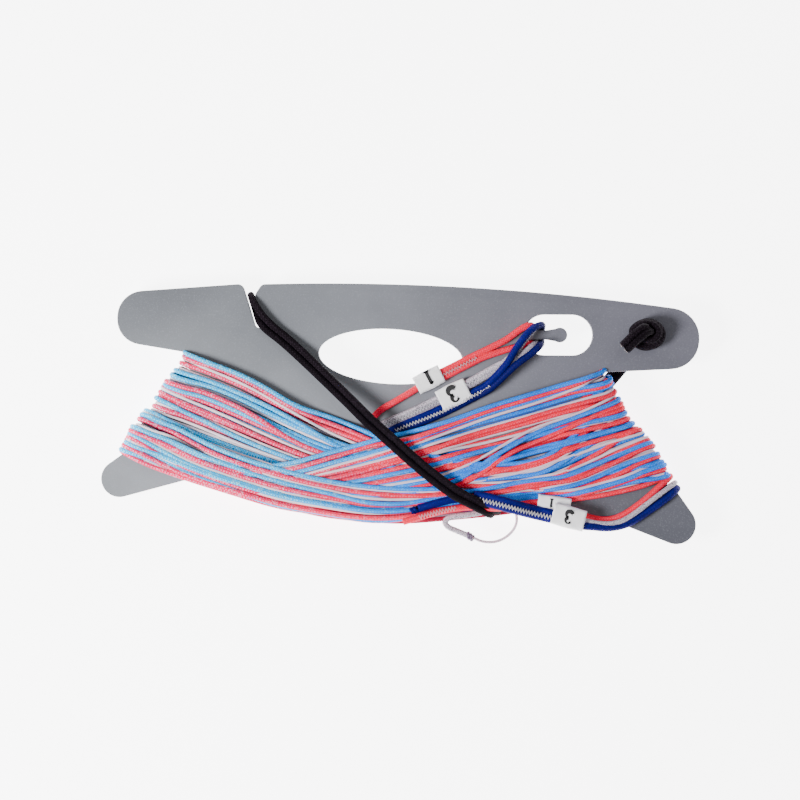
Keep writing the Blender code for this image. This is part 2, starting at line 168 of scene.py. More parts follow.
def hollow(before, corner, after, radius):
    """Points along one winding end of the plate, from its wing to its horn."""
    corner = np.array(corner)
    back, ahead = unit(np.array(before) - corner), unit(np.array(after) - corner)
    half = math.acos(np.clip(back @ ahead, -1, 1)) / 2
    reach = radius / math.tan(half)
    middle = corner + unit(back + ahead) * radius / math.sin(half)
    start, end = corner + back * reach, corner + ahead * reach
    first = math.atan2(*(start - middle)[::-1])
    turn = math.atan2(*(end - middle)[::-1]) - first
    turn = (turn + math.pi) % (2 * math.pi) - math.pi
    angles = first + turn * np.linspace(0, 1, 40)
    return np.vstack([np.array(before), middle + radius * np.stack([np.cos(angles), np.sin(angles)], 1)])


# Families of passes over the front, from the left end to the right: the winding share at the left
# and right end, and the middle of the pass, for the family's highest and lowest line
FAMILIES = {
    "base": (
        ((0.00, 0.04), [(-85, 12), (-60, 3), (-30, -10), (0, -16), (30, -14), (60, -3), (82, 8)]),
        ((0.97, 0.98), [(-108, -31.5), (-78, -40), (-40, -47), (0, -48.5), (40, -41), (80, -34.6), (104, -30)]),
    ),
    "falling": (
        ((0.00, 0.34), [(-87, 16.6), (-67.5, 8.7), (-47.5, -1.7), (-35, -7.5), (-20, -13), (0, -20),
                        (30, -26), (60, -24), (85, -13)]),
        ((0.84, 1.00), [(-113, -26), (-92, -33.5), (-70, -39), (-40, -44.5), (-20, -46), (0, -47),
                        (30, -43), (60, -38.5), (90, -34)]),
    ),
    "rising": (
        ((0.78, 0.00), [(-105, -27), (-85, -32), (-66, -33.6), (-49, -31), (-30.5, -24.4), (-9.7, -17.2),
                        (19.5, -4.7), (38.8, 3.8), (58.6, 10.9), (78, 18.2)]),
        ((1.00, 0.52), [(-112, -32.2), (-92, -38.6), (-70, -43), (-49, -44.6), (-30.5, -42.6), (-9.7, -38),
                        (19.5, -31.5), (38.8, -27), (58.6, -21.4), (84, -12.4)]),
    ),
    "stray": (
        ((0.84, 0.24), [(-108, -28), (-85, -35), (-60, -38), (-30, -38.5), (8, -35), (28, -28.0),
                        (44, -18.5), (59, -8.6), (77, -0.2), (92, 4.6)]),
        ((0.88, 0.28), [(-108, -29.4), (-85, -36.4), (-60, -39.4), (-30, -39.9), (8, -36.4), (29, -29.4),
                        (45.4, -19.9), (60.4, -10.0), (78.0, -1.8), (93, 3.0)]),
    ),
    "last": (
        ((0.60, 0.46), [(-99.8, -18.2), (-76.4, -26.5), (-62.2, -30.1), (-33.7, -35.5), (-6, -37.3),
                        (20.4, -36.2), (45, -30), (70, -22), (92, -14)]),
        ((1.00, 1.00), [(-113, -32.8), (-99.3, -37), (-74, -43.4), (-54.4, -48), (-34.9, -49.9),
                        (-15, -52.2), (-1.7, -51.5), (10.6, -48), (24.2, -44.4), (47.1, -41),
                        (65.3, -37.9), (79.5, -36.4), (91.4, -34.4), (105, -31)]),
    ),
}
BACK_HIGH = [(-86, 13), (-60, 3), (-30, -9), (0, -15), (30, -11), (60, 2), (80, 12)]
BACK_LOW = [(-112, -32.4), (-90, -38), (-60, -45), (-30, -49.5), (0, -50.5), (30, -47), (60, -42), (90, -35)]

# Outer edges of the whole winding on each face: highest and lowest middle of a line, by x
FRONT_EDGES = (
    np.array([(-104, 20), (-87.3, 16.8), (-67.5, 8.7), (-47.5, -1.7), (-37.7, -3.4), (-22.8, -7.2),
              (-10.9, -13.9), (0.1, -12.8), (19.5, -4.7), (38.8, 3.8), (58.6, 10.9), (78.1, 18.0), (95, 22)]),
    np.array([(-130, -27), (-113.3, -32.6), (-99.3, -36.8), (-74, -43.2), (-54.4, -48.1), (-34.9, -49.7),
              (-15, -52.2), (-1.7, -51.5), (10.6, -48), (24.2, -44.4), (47.1, -41.3), (65.3, -38.2),
              (79.5, -36.8), (91.4, -34.6), (105, -31), (123, -26)]),
)
BACK_EDGES = (
    np.array([(-104, 20), (-86, 13), (-60, 3), (-30, -7), (0, -11), (30, -6), (60, 6), (80, 15), (95, 22)]),
    np.array([(-130, -27), (-112, -32.4), (-90, -40), (-60, -47), (-30, -51), (0, -52), (30, -48),
              (60, -43), (90, -35), (123, -26)]),
)

# Turns in the order they were wound: family and the share across it
TURNS = (
    [("base", share) for share in (0.10, 0.86, 0.35, 0.62)]
    + [("falling", share) for share in (0.92, 0.64, 0.78, 0.34, 0.52, 0.40, 0.28, 0.15, 0.03)]
    + [("rising", share) for share in (0.97, 0.80, 0.62, 0.45, 0.30, 0.16, 0.02)]
    + [("stray", 0.5)]
    + [("last", share) for share in (0.55, 0.97, 0.76, 0.36, 0.06)]
)


def eased(start, middle, stop):
    """A flat route from one edge to the other, its bends eased."""
    return evenly(softened(through(np.vstack([start, middle, stop])), EASING))


class Pile:
    """Height of what is laid so far on one face, in millimetres, on a grid over the face."""

    CELL = 0.4
    LOW = np.array([-140.0, -62.0])
    ROWS, COLUMNS = 230, 700

    PAST_EDGE_COST = 12.0       # of a millimetre past the winding's edge
    SHIFT_COST = 0.06           # of lying beside its own route
    END_COST = 50               # of doing so at the start and the end
    CHANGE_COST = 7.0           # of a change of shift between two stations

    def __init__(self, bed):
        self.height = bed.copy()

    def cells(self, points):
        """Rows and columns of the grid that hold these points."""
        index = np.round((points - self.LOW) / self.CELL).astype(int)
        return (np.clip(index[..., 1], 0, self.height.shape[0] - 1),
                np.clip(index[..., 0], 0, self.height.shape[1] - 1))

    def rest(self, line, radius, tight=120, closeness=0.76):
        """Heights of a cord's middle where it lies along a flat line on what is there."""
        across = sideways(line)
        need = np.full(len(line), -1e9)
        for offset in np.linspace(-radius, radius, 9):
            there = self.height[self.cells(line + across * offset)]
            need = np.maximum(need, there + closeness * math.sqrt(max(0.0, radius ** 2 - offset ** 2)))
        z = need.copy()
        for _ in range(tight):
            z[1:-1] = np.maximum(need[1:-1], 0.5 * (z[:-2] + z[2:]))
        return softened(z, 3)

    def settled(self, line, radius, edges, reach=2.4, group=6):
        """The flat line moved sideways into the grooves between what is there, its ends kept."""
        across = sideways(line)
        offsets = np.arange(-reach, reach + 0.01, self.CELL)
        foot = np.linspace(-radius, radius, 7)
        arch = 0.8 * np.sqrt(np.maximum(0, radius ** 2 - foot ** 2))
        spread = offsets[:, None] + foot[None, :]
        places = line[:, None, None, :] + across[:, None, None, :] * spread[None, :, :, None]
        need = (self.height[self.cells(places)] + arch).max(axis=2)
        middle = line[:, None, :] + across[:, None, :] * offsets[None, :, None]
        for edge, side in zip(edges, (1, -1)):
            past = side * (middle[..., 1] - at_x(middle[..., 0], edge))
            need = need + self.PAST_EDGE_COST * np.maximum(0, past)
        count = len(line) // group
        cost = need[:count * group].reshape(count, group, -1).mean(axis=1)
        cost = cost + self.SHIFT_COST * offsets ** 2
        cost[0] += self.END_COST * offsets ** 2
        cost[-1] += self.END_COST * offsets ** 2
        change = self.CHANGE_COST * (offsets[:, None] - offsets[None, :]) ** 2

        # the cheapest run of shifts, found station by station
        total = cost[0]
        choices = []
        for station in range(1, count):
            options = total[:, None] + change
            choices.append(options.argmin(axis=0))
            total = options.min(axis=0) + cost[station]
        picked = [int(total.argmin())]
        for choice in choices[::-1]:
            picked.append(int(choice[picked[-1]]))
        order = np.arange(len(line))
        shift = np.interp(order, (np.arange(count) + 0.5) * group, offsets[picked[::-1]])
        shift = softened(shift, 10) * np.minimum(1, np.minimum(order, order[::-1]) / 12)
        return evenly(line + across * shift[:, None])

    def add(self, line, z, radius):
        """A cord laid along a flat line, its middle at these heights."""
        across = sideways(line)
        for offset in np.linspace(-radius, radius, 13):
            top = z + math.sqrt(max(0.0, radius ** 2 - offset ** 2))
            np.maximum.at(self.height, self.cells(line + across * offset), top)


class Throat:
    """One hollow winding end of the plate, and how far the wound lines stand out from it, along it."""

    LEAST, MOST = 1.5, 22.0     # room between the plate's edge and the outline
    MARGIN = 0.7                # kept inside the outline
    LIFT, GROWTH = 2.8, 2.4     # how fast the room fills up as the lines lie over each other
    UNEVEN, MOST_UNEVEN = 0.4, 0.9

    def __init__(self, corners, outline, outward, first, last, seed):
        """Outward is the sign of its side in X, first and last the edge's millimetres between which lines lie."""
        self.edge = hollow(*corners)
        self.edge_along = distances(self.edge)
        self.outline = np.array(outline)[::-1]
        self.outward, self.first, self.last = outward, first, last
        self.rng = np.random.default_rng(seed)
        self.out = np.zeros(400)
        self.along = np.linspace(-0.12, 1.12, 400)
        self.per_mm = 1.0 / (last - first)

    def point(self, along):
        """Point this far along the edge, or straight on past its end."""
        spot = np.array([np.interp(along, self.edge_along, column) for column in self.edge.T])
        over = along - self.edge_along[-1]
        return spot + unit(self.edge[-1] - self.edge[-2]) * over if over > 0 else spot

    def place(self, share):
        """Point on the edge and outward normal, at a share from the wing (0) to the horn (1)."""
        along = self.first + (self.last - self.first) * share
        ahead = self.point(along + 1.0) - self.point(along - 1.0)
        normal = np.array([-ahead[1], ahead[0]]) / np.linalg.norm(ahead)
        return self.point(along), -normal if normal[0] * self.outward < 0 else normal

    def beside(self, share, shift):
        """Share this many millimetres beside another one."""
        return min(1.0, max(0.0, share + shift * self.per_mm))

    def level(self, share):
        """How far the lines stand out at this share so far."""
        return float(np.interp(share, self.along, self.out))

    def wrap(self, share, radius):
        """Outward offset of a cord's middle that crosses the end at this share."""
        offset = (self.along - share) / self.per_mm
        near = np.abs(offset) < radius
        arch = np.sqrt(np.maximum(0, radius ** 2 - offset[near] ** 2))
        middle = (self.out[near] + 0.86 * arch).max()
        self.out[near] = np.maximum(self.out[near], middle + arch)
        point, normal = self.place(share)
        reach = np.arange(self.LEAST, self.MOST, 0.1)
        spots = point + normal * reach[:, None]
        past = (spots[:, 0] - np.interp(spots[:, 1], self.outline[:, 1], self.outline[:, 0])) * self.outward > 0
        room = max(self.LEAST, (reach[int(past.argmax())] if past.any() else reach[-1]) - self.MARGIN)
        full = 1 - math.exp(-(middle + self.LIFT) / self.GROWTH)
        return room * full - min(self.MOST_UNEVEN, abs(self.rng.normal(0, self.UNEVEN)))


def bed_of_plate(front):
    """The plate's face as the floor of a pile, a little lower where there is no plate."""
    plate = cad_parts["winder_plate"]
    inverse = plate.matrix_world.inverted()
    aim = inverse.to_3x3() @ Vector((0, 0, -1 if front else 1))
    bed = np.full((Pile.ROWS, Pile.COLUMNS), BESIDE_PLATE)
    step = 3
    for row in range(0, Pile.ROWS, step):
        for column in range(0, Pile.COLUMNS, step):
            where = mm((*(Pile.LOW + np.array([column, row]) * Pile.CELL), 0.0))
            if plate.ray_cast(inverse @ Vector((where[0], where[1], 0.05 if front else -0.05)), aim)[0]:
                bed[row:row + step, column:column + step] = PLATE_FRONT
    return bed


def far_face(z):
    """Height on the back's pile as a height in the frame, and the other way round."""
    return PLATE_FRONT + PLATE_BACK - z


def plan_turns(rng):
    """Each turn's route over the front, its places at both ends, the lines' order there, and if it is topmost."""
    turns = []
    for family, share in TURNS:
        (high_ends, high), (low_ends, low) = FAMILIES[family]
        route = (1 - share) * sampled(high, 200) + share * sampled(low, 200)
        ends = np.array(high_ends) * (1 - share) + np.array(low_ends) * share
        orders = [list(rng.permutation(3)) for _ in range(2)]
        if rng.random() < 0.75:
            orders[1] = orders[0]
        topmost = share < 0.1 and family != "last"
        if topmost:
            orders = [[0, 1, 2], [0, 1, 2]]
        elif family == "last":
            orders = [[1, 2, 0], [1, 2, 0]]
        turns.append((route, ends, orders, topmost))
    return turns


def lay_front(front, left, right, turn, slot, radius, reach, rng):
    """A line's lowest pass over the front of some tries: flat line, heights and places at both ends."""
    route, ends, orders, topmost = turn
    edges = (FRONT_EDGES[0] - (0, TOPMOST_STEP * slot * topmost), FRONT_EDGES[1])
    tries = []
    for _ in range(TRIES):
        shift = rng.normal(0, SCATTER, 2) + np.array([(order[slot] - 1) * PITCH for order in orders])
        first, last = left.beside(ends[0], shift[0]), right.beside(ends[1], shift[1])
        middle = route[12:-12:8]
        along = np.linspace(0.05, 0.95, len(middle))[:, None]
        wave = rng.normal(0, WAVE) * np.sin(along * math.pi * rng.uniform(1.5, 3.0))
        moved = middle - sideways(middle) * (shift[0] * (1 - along) + shift[1] * along + wave)
        for edge, pick in zip(edges, (np.minimum, np.maximum)):
            moved[:, 1] = pick(moved[:, 1], at_x(moved[:, 0], edge))
        line = eased(left.place(first)[0], moved, right.place(last)[0])
        line = front.settled(line, radius, edges, reach)
        z = front.rest(line, radius)
        score = z.mean() + 0.4 * left.level(first) + 0.4 * right.level(last)     # low, and thin at the ends
        tries.append((score, line, z, first, last))
    return min(tries, key=lambda tried: tried[0])[1:]


def lay_back(back, left, right, last, goal, radius, rng):
    """A line's pass over the back, from its place at the right end to the next turn's at the left."""
    stations, uneven = 22, 0.05
    spots = np.linspace(0.0, 1.0, stations)
    high, low = sampled(BACK_HIGH, stations), sampled(BACK_LOW, stations)
    lean = spots + rng.normal(0, uneven) * np.sin(spots * math.pi)
    share = (goal * (1 - lean) + last * lean + rng.normal(0, uneven) * np.sin(spots * math.pi * 2))[:, None]
    middle = (high * (1 - share) + low * share)[::-1]
    line = eased(right.place(last)[0], middle, left.place(goal)[0])
    line = back.settled(line, radius, BACK_EDGES)
    z = back.rest(line, radius)
    back.add(line, z, radius)
    return np.column_stack([line, far_face(z)])


def wind_lines():
    """Centrelines of the three lines, laid turn by turn on both faces, and the front's pile."""
    rng = np.random.default_rng(11)
    left = Throat(LEFT_END, LEFT_OUTLINE, outward=-1, first=1.5, last=57.0, seed=5)
    right = Throat(RIGHT_END, RIGHT_OUTLINE, outward=1, first=1.0, last=59.5, seed=6)
    front, back = Pile(bed_of_plate(True)), Pile(bed_of_plate(False))
    lines = {"red": [], "blue": [], "grey": []}
    turns = plan_turns(rng)
    for number, turn in enumerate(turns):
        for slot, name in ((2, "grey"), (1, "red"), (0, "blue")):
            parts, radius = lines[name], LINE_RADII[name]
            reach = 2.4 if number < BOTTOM_TURNS else 1.4
            line, z, first, last = lay_front(front, left, right, turn, slot, radius, reach, rng)
            if number == 0:
                # the inner end lies under the rest, not quite halfway over
                cut = int(len(line) * 0.45)
                line, z = line[cut:], z[cut:]
            if number == len(turns) - 1:
                # the outer ends run in under the leaders
                cut = int(np.argmax(line[:, 0] > 26 - 1.5 * slot))
                line, z = line[:cut], z[:cut]
            front.add(line, z, radius)
            over_front = np.column_stack([line, z])
            if number > 0:
                parts.append(wrap(left, parts[-1], over_front, first, radius))
            parts.append(over_front)
            if number < len(turns) - 1:
                _, next_ends, next_orders, _ = turns[number + 1]
                goal = left.beside(next_ends[0], (next_orders[0][slot] - 1) * PITCH)
                over_back = lay_back(back, left, right, last, goal, radius, rng)
                parts += [wrap(right, over_front, over_back, last, radius), over_back]
    lines = {name: np.vstack(parts) for name, parts in lines.items()}
    for path in lines.values():
        path[:, 2] = pressed(path[:, 2], path[:, 0], path[:, 1])
    rows, columns = np.indices(front.height.shape)
    front.height = pressed(front.height, Pile.LOW[0] + columns * Pile.CELL, Pile.LOW[1] + rows * Pile.CELL)
    return lines, front


def pressed(z, x, y):
    """Heights drawn in towards the plate, as the turns pull down on those below them.

    They lie flatter still under the lower tags."""
    flat = 1.2
    over = np.abs(z - PLATE_MIDDLE) - (PLATE_FRONT - PLATE_MIDDLE)
    drawn = np.where(over > 0, DEPTH * (1 - np.exp(-over / DEPTH * 0.9)), over)
    under_tags = ramp(x, 52, 62) * ramp(-x, -96, -86) * ramp(-y, 31.5, 35.5) * (z > PLATE_MIDDLE)
    drawn = np.where(drawn > flat, flat + (drawn - flat) * (1 - 0.9 * under_tags), drawn)
    return PLATE_MIDDLE + np.sign(z - PLATE_MIDDLE) * (PLATE_FRONT - PLATE_MIDDLE + drawn)


def wrap(throat, arriving, leaving, share, radius):
    """The bend round the plate's edge, from the end of one pass to the start of the next."""
    out = max(1.4, throat.wrap(share, radius))
    normal = throat.place(share)[1]
    start, stop = arriving[-1], leaving[0]
    before, after = unit((start - arriving[-5])[:2]), unit((stop - leaving[4])[:2])
    points = []
    for angle in np.linspace(0, math.pi, 19)[1:-1]:
        mix = 0.5 - 0.5 * math.cos(angle)
        aim = unit(before * (1 - mix) + after * mix)
        aim = aim / max(0.6, aim @ normal)
        base = start[:2] * (1 - mix) + stop[:2] * mix
        end_z = start[2] if angle < math.pi / 2 else stop[2]
        height = PLATE_MIDDLE + (end_z - PLATE_MIDDLE) * abs(math.cos(angle)) ** 0.85
        points.append([*(base + aim * out * math.sin(angle) ** 0.8), height])
    return np.array(points)


lines, pile = wind_lines()

# ---------------------------------------------------------------- meshes

def smooth(mesh):
    """The mesh, shaded smooth."""
    mesh.polygons.foreach_set("use_smooth", [True] * len(mesh.polygons))
    return mesh


def tube_mesh(name, path, radius, sides=8):
    """A closed tube along a path in millimetres, with its length along it as the UV's first value."""
    path = np.asarray(path)
    ahead = np.gradient(path, axis=0)
    ahead /= np.linalg.norm(ahead, axis=1)[:, None]
    up = np.array([0.0, 0.0, 1.0]) if abs(ahead[0][2]) < 0.9 else np.array([0.0, 1.0, 0.0])
    across = unit(np.cross(ahead[0], up))
    first = []
    for direction in ahead:
        across = across - direction * (across @ direction)
        # drawn back to level where the path isn't steep, so that no twist builds up
        if abs(direction[2]) < 0.5:
            level = unit(np.cross(direction, (0.0, 0.0, 1.0)))
            across = across * 0.8 + level * (0.2 if level @ across > 0 else -0.2)
            across = across - direction * (across @ direction)
        across = unit(across)
        first.append(across)
    first = np.array(first)
    second = np.cross(first, ahead)
    angles = np.linspace(0, 2 * math.pi, sides, endpoint=False)
    radius = np.broadcast_to(np.asarray(radius, dtype=float), (len(path),))
    rings = path[:, None, :] + radius[:, None, None] * (
        first[:, None, :] * np.cos(angles)[None, :, None] + second[:, None, :] * np.sin(angles)[None, :, None])
    index = np.arange(len(path) * sides).reshape(len(path), sides)
    turned = np.roll(index, -1, axis=1)
    quads = np.stack([index[:-1], turned[:-1], turned[1:], index[1:]], -1).reshape(-1, 4)
    mesh = bpy.data.meshes.new(name)
    mesh.from_pydata(mm(rings.reshape(-1, 3)).tolist(), [],
                     quads.tolist() + [index[0][::-1].tolist(), index[-1].tolist()])
    along = distances(path)
    u = np.stack([along[:-1], along[:-1], along[1:], along[1:]], 1)
    start = np.arange(sides) / sides
    v = np.stack([start, start + 1 / sides, start + 1 / sides, start], 1)
    uv = np.zeros((len(mesh.loops), 2))
    uv[:quads.size, 0] = np.repeat(u[:, None, :], sides, axis=1).reshape(-1)
    uv[:quads.size, 1] = np.broadcast_to(v[None], (len(path) - 1, sides, 4)).reshape(-1)
    mesh.uv_layers.new(name="Along").data.foreach_set("uv", uv.ravel())
    mesh.update()
    return smooth(mesh)


def closed_mesh(name, vertices, faces):
    """A mesh with its faces turned outwards, from points in millimetres about its own origin."""
    mesh = bpy.data.meshes.new(name)
    mesh.from_pydata([tuple(v * 0.001 for v in vertex) for vertex in vertices], [], faces)
    cage = bmesh.new()
    cage.from_mesh(mesh)
    bmesh.ops.recalc_face_normals(cage, faces=cage.faces)
    cage.to_mesh(mesh)
    cage.free()
    return mesh


def add(name, mesh, material):
    """A new object of the scene."""
    obj = bpy.data.objects.new(name, mesh)
    bpy.context.scene.collection.objects.link(obj)
    mesh.materials.append(material)
    return obj


# ---------------------------------------------------------------- materials

def srgb(red, green, blue):
    """A display colour as a linear one."""
    return tuple(((v / 255 + 0.055) / 1.055) ** 2.4 if v > 10 else v / 255 / 12.92 for v in (red, green, blue))


class Nodes:
    """Short names for building a shader."""

    def __init__(self, name):
        self.material = bpy.data.materials.new(name)
        self.material.use_nodes = True
        self.tree = self.material.node_tree
        self.shader = self.tree.nodes["Principled BSDF"]

    def new(self, kind, **settings):
        """A new node."""
        node = self.tree.nodes.new(kind)
        for key, value in settings.items():
            setattr(node, key, value)
        return node

    def set(self, socket, value):
        """A value or another node's output put on a socket."""
        if isinstance(value, bpy.types.NodeSocket):
            self.tree.links.new(value, socket)
        else:
            socket.default_value = value

    def math(self, operation, first, second=0.0):
        """Two numbers put together."""
        node = self.new("ShaderNodeMath", operation=operation)
        self.set(node.inputs[0], first)
        self.set(node.inputs[1], second)
        return node.outputs[0]

    def times(self, first, second):
        """Their product."""
        return self.math("MULTIPLY", first, second)

    def rest_of(self, whole, part):
        """What is left of the whole."""
        return self.math("SUBTRACT", whole, part)

    def sine(self, value, factor):
        """Sine of the value times a factor."""
        return self.math("SINE", self.times(value, factor))

    def mix(self, share, first, second):
        """From the first colour to the second."""
        node = self.new("ShaderNodeMix", data_type="RGBA")
        self.set(node.inputs[0], share)
        for socket, value in ((node.inputs[6], first), (node.inputs[7], second)):
            self.set(socket, (*value, 1.0) if isinstance(value, tuple) else value)
        return node.outputs[2]

    def coat(self, colour, where, strength, paint):
        """The colour with some of the paint over it."""
        return self.mix(self.times(where, strength), colour, paint)

    def place(self):
        """Place on the object."""
        return self.new("ShaderNodeTexCoord").outputs["Object"]

    def along(self):
        """Place on a tube: length along it, share round it."""
        return self.new("ShaderNodeUVMap", uv_map="Along").outputs[0]

    def split(self, vector):
        """The vector's three parts."""
        node = self.new("ShaderNodeSeparateXYZ")
        self.set(node.inputs[0], vector)
        return node.outputs

    def noise(self, scale, detail=2.0, roughness=0.6, vector=None):
        """Uneven grey."""
        node = self.new("ShaderNodeTexNoise")
        for socket, value in (("Scale", scale), ("Detail", detail), ("Roughness", roughness),
                              ("Vector", vector or self.place())):
            self.set(node.inputs[socket], value)
        return node.outputs["Fac"]

    def steps(self, value, low, high):
        """0 at the low value, 1 at the high one, smooth between them."""
        node = self.new("ShaderNodeMapRange", interpolation_type="SMOOTHSTEP")
        for socket, setting in zip(node.inputs, (value, low, high, 0.0, 1.0)):
            self.set(socket, setting)
        return node.outputs[0]

    def bump(self, height, distance, strength=1.0, under=None):
        """A relief, over another one."""
        node = self.new("ShaderNodeBump")
        for socket, value in (("Strength", strength), ("Distance", distance), ("Height", height), ("Normal", under)):
            if value is not None:
                self.set(node.inputs[socket], value)
        return node.outputs[0]

    def finish(self, colour, roughness, normal=None, sheen=0.0, specular=0.5):
        """The material."""
        colour = (*colour, 1.0) if isinstance(colour, tuple) else colour
        for socket, value in (("Base Color", colour), ("Roughness", roughness), ("Sheen Weight", sheen),
                              ("Specular IOR Level", specular), ("Normal", normal)):
            if value is not None:
                self.set(self.shader.inputs[socket], value)
        return self.material


def braided(name, colour, shade, light, yarns=5, pitch=1.35, relief=0.10, fleck=None, roughness=0.6, gleam=0.3,
            specular=0.22, painted_gap_shade=0.35, painted_lit_colour=None):
    """A braided cord: yarns crossing both ways round it, along the UV map of a tube."""
    n = Nodes(name)
    colour, shade, light = srgb(*colour), srgb(*shade), srgb(*light)
    length, round_it = n.split(n.along())[:2]
    along = n.math("DIVIDE", length, pitch)
    around = n.times(round_it, float(yarns))
    crossing = n.times(n.sine(n.math("ADD", along, around), math.pi), n.sine(n.rest_of(along, around), math.pi))
    height = n.math("POWER", n.math("ABSOLUTE", crossing), 0.5)
    # painted light: towards the left, where the light falls, the colour turns paler and the painted highlight grows
    if painted_lit_colour is not None:
        painted_lit_share = n.steps(n.split(n.place())[0], 0.03, -0.09)
        colour = n.mix(painted_lit_share, colour, srgb(*painted_lit_colour))
        gleam = n.times(gleam, n.math("ADD", 0.3, n.times(painted_lit_share, 1.2)))
    # painted highlights: the light colour on the crowns of the yarns, and fine painted glints, as strong as gleam
    crown = n.times(n.steps(crossing, -0.15, 0.15), n.steps(height, 0.45, 0.95))
    body = n.coat(colour, crown, gleam, light)
    body = n.coat(body, n.steps(n.noise(900.0), 0.50, 0.70), n.times(gleam, 1.3), light)
    body = n.coat(body, n.steps(n.noise(55.0, 3.0), 0.45, 0.75), 0.2, shade)
    # painted shade in the grooves between the yarns
    body = n.coat(body, n.rest_of(1.0, n.steps(height, 0.05, 0.5)), 0.6, shade)
    # painted shade on the sides and underside of the cord, where it lies against its neighbours
    outer = n.sine(round_it, 2 * math.pi)
    body = n.coat(body, n.rest_of(1.0, n.steps(outer, -0.35, 0.72)), painted_gap_shade, shade)
    if fleck is not None:
        body = n.coat(body, n.steps(n.noise(2300.0, 1.0, 0.5), 0.56, 0.64), 0.8, srgb(*fleck))
    normal = n.bump(n.noise(4200.0), 0.00006, 0.6, n.bump(height, relief * 0.001))
    return n.finish(body, roughness, normal, 0.0, specular)


def moulded_plate():
    """Grey moulded nylon with a fine stipple, faint flow marks and paler, rubbed edges, with painted light and shade:
    lighter to the left, darker to the right and at the right horn and the left wing.
    """
    left, right, shade, light = srgb(128, 132, 137), srgb(99, 98, 110), srgb(60, 63, 71), srgb(146, 148, 156)
    n = Nodes("moulded_plate")
    place = n.place()
    cloud = n.noise(14.0, 4.0, 0.55)
    stipple = n.noise(1500.0, 3.0, 0.65)
    x, y = n.split(place)[:2]
    # painted light and shade: lighter to the left, darker to the right
    colour = n.mix(n.steps(x, -0.13, 0.13), left, right)
    # painted shade: darker at the right horn and the left wing
    uneven = n.steps(n.times(x, y), -0.0065, 0.0005)
    colour = n.mix(n.rest_of(0.6, n.times(uneven, 0.6)), colour, shade)
    colour = n.coat(colour, n.steps(cloud, 0.35, 0.7), 0.35, shade)
    colour = n.coat(colour, n.steps(stipple, 0.52, 0.7), 0.22, light)
    stretched = n.new("ShaderNodeMapping")
    n.set(stretched.inputs["Vector"], place)
    stretched.inputs["Scale"].default_value = (30.0, 260.0, 60.0)
    scuffs = n.noise(3.0, 4.0, 0.6, stretched.outputs[0])
    colour = n.coat(colour, n.steps(scuffs, 0.62, 0.78), 0.12, light)
    edge = n.new("ShaderNodeNewGeometry").outputs["Pointiness"]
    colour = n.coat(colour, n.steps(edge, 0.52, 0.62), 0.4, light)
    normal = n.bump(cloud, 0.0003, 0.25, n.bump(stipple, 0.00012, 0.6))
    return n.finish(colour, n.math("ADD", 0.46, n.times(cloud, 0.16)), normal)


def label_tape():
    """White woven label tape, with the rib of its weave."""
    n = Nodes("label_tape")
    x, y = n.split(n.place())[:2]
    weave = n.times(n.sine(x, 2 * math.pi / 0.00042), n.sine(y, 2 * math.pi / 0.00036))
    cloud = n.noise(260.0, 3.0)
    colour = n.coat(srgb(255, 254, 255), n.steps(cloud, 0.4, 0.75), 0.5, srgb(240, 236, 244))
    colour = n.coat(colour, n.steps(weave, 0.0, 1.0), 0.10, srgb(190, 186, 200))
    return n.finish(colour, 0.62, n.bump(weave, 0.00005, 0.5), 0.2)


def printed_ink():
    """Black ink, printed a little unevenly."""
    n = Nodes("printed_ink")
    return n.finish(n.mix(n.steps(n.noise(1800.0), 0.5, 0.75), srgb(18, 16, 20), srgb(48, 46, 52)), 0.55)


def sewing_thread(name, colour, shade):
    """Twisted sewing thread."""
    n = Nodes(name)
    length, round_it = n.split(n.along())[:2]
    twist = n.sine(n.math("ADD", n.math("DIVIDE", length, 0.45), round_it), 4 * math.pi)
    return n.finish(n.mix(n.steps(twist, -1.0, 0.4), srgb(*shade), srgb(*colour)), 0.6, n.bump(twist, 0.00004), 0.2)


line_looks = dict(gleam=0.48, specular=0.12)
# The keyword colour of each line is its paler, painted-lit colour towards the left, and the number before it the
# strength of the painted shade on its sides.
line_finish = {
    "red": braided("red_line", (255, 0, 52), (120, 0, 50), (255, 176, 202), painted_gap_shade=0.68, painted_lit_colour=(255, 4, 92),
                   **line_looks),
    "blue": braided("blue_line", (0, 122, 240), (0, 14, 120), (160, 238, 255), painted_gap_shade=0.66, painted_lit_colour=(0, 186, 250),
                    **line_looks),
    "grey": braided("grey_line", (230, 206, 220), (80, 62, 94), (255, 250, 246), pitch=1.0, specular=0.15,
                    painted_gap_shade=0.55, painted_lit_colour=(252, 236, 244)),
}
sleeve_looks = dict(yarns=7, pitch=1.3, relief=0.12)
sleeve_finish = {
    "red": braided("red_sleeve", (250, 0, 54), (140, 0, 34), (255, 110, 140), gleam=0.2, **sleeve_looks),
    "grey": braided("grey_sleeve", (192, 182, 196), (70, 60, 78), (240, 234, 240), fleck=(40, 30, 50),
                    **sleeve_looks),
    "navy": braided("navy_sleeve", (2, 0, 96), (0, 0, 34), (36, 30, 170), gleam=0.14, specular=0.12,
                    **sleeve_looks),
}
knot_finish = braided("knotted_sleeve", (104, 88, 112), (40, 30, 50), (190, 180, 200), pitch=1.0)
elastic_finish = braided("bungee_sleeve", (19, 13, 19), (3, 2, 4), (72, 58, 74), yarns=8, pitch=1.5, relief=0.14,
                         roughness=0.75, gleam=0.12, specular=0.05)
rubber_finish = braided("bungee_rubber", (150, 140, 140), (90, 84, 88), (200, 195, 195))
tape_finish = label_tape()
ink_finish = printed_ink()
white_thread = sewing_thread("white_thread", (240, 236, 242), (150, 146, 165))
pink_thread = sewing_thread("pink_thread", (250, 190, 200), (190, 80, 100))

# ---------------------------------------------------------------- cords

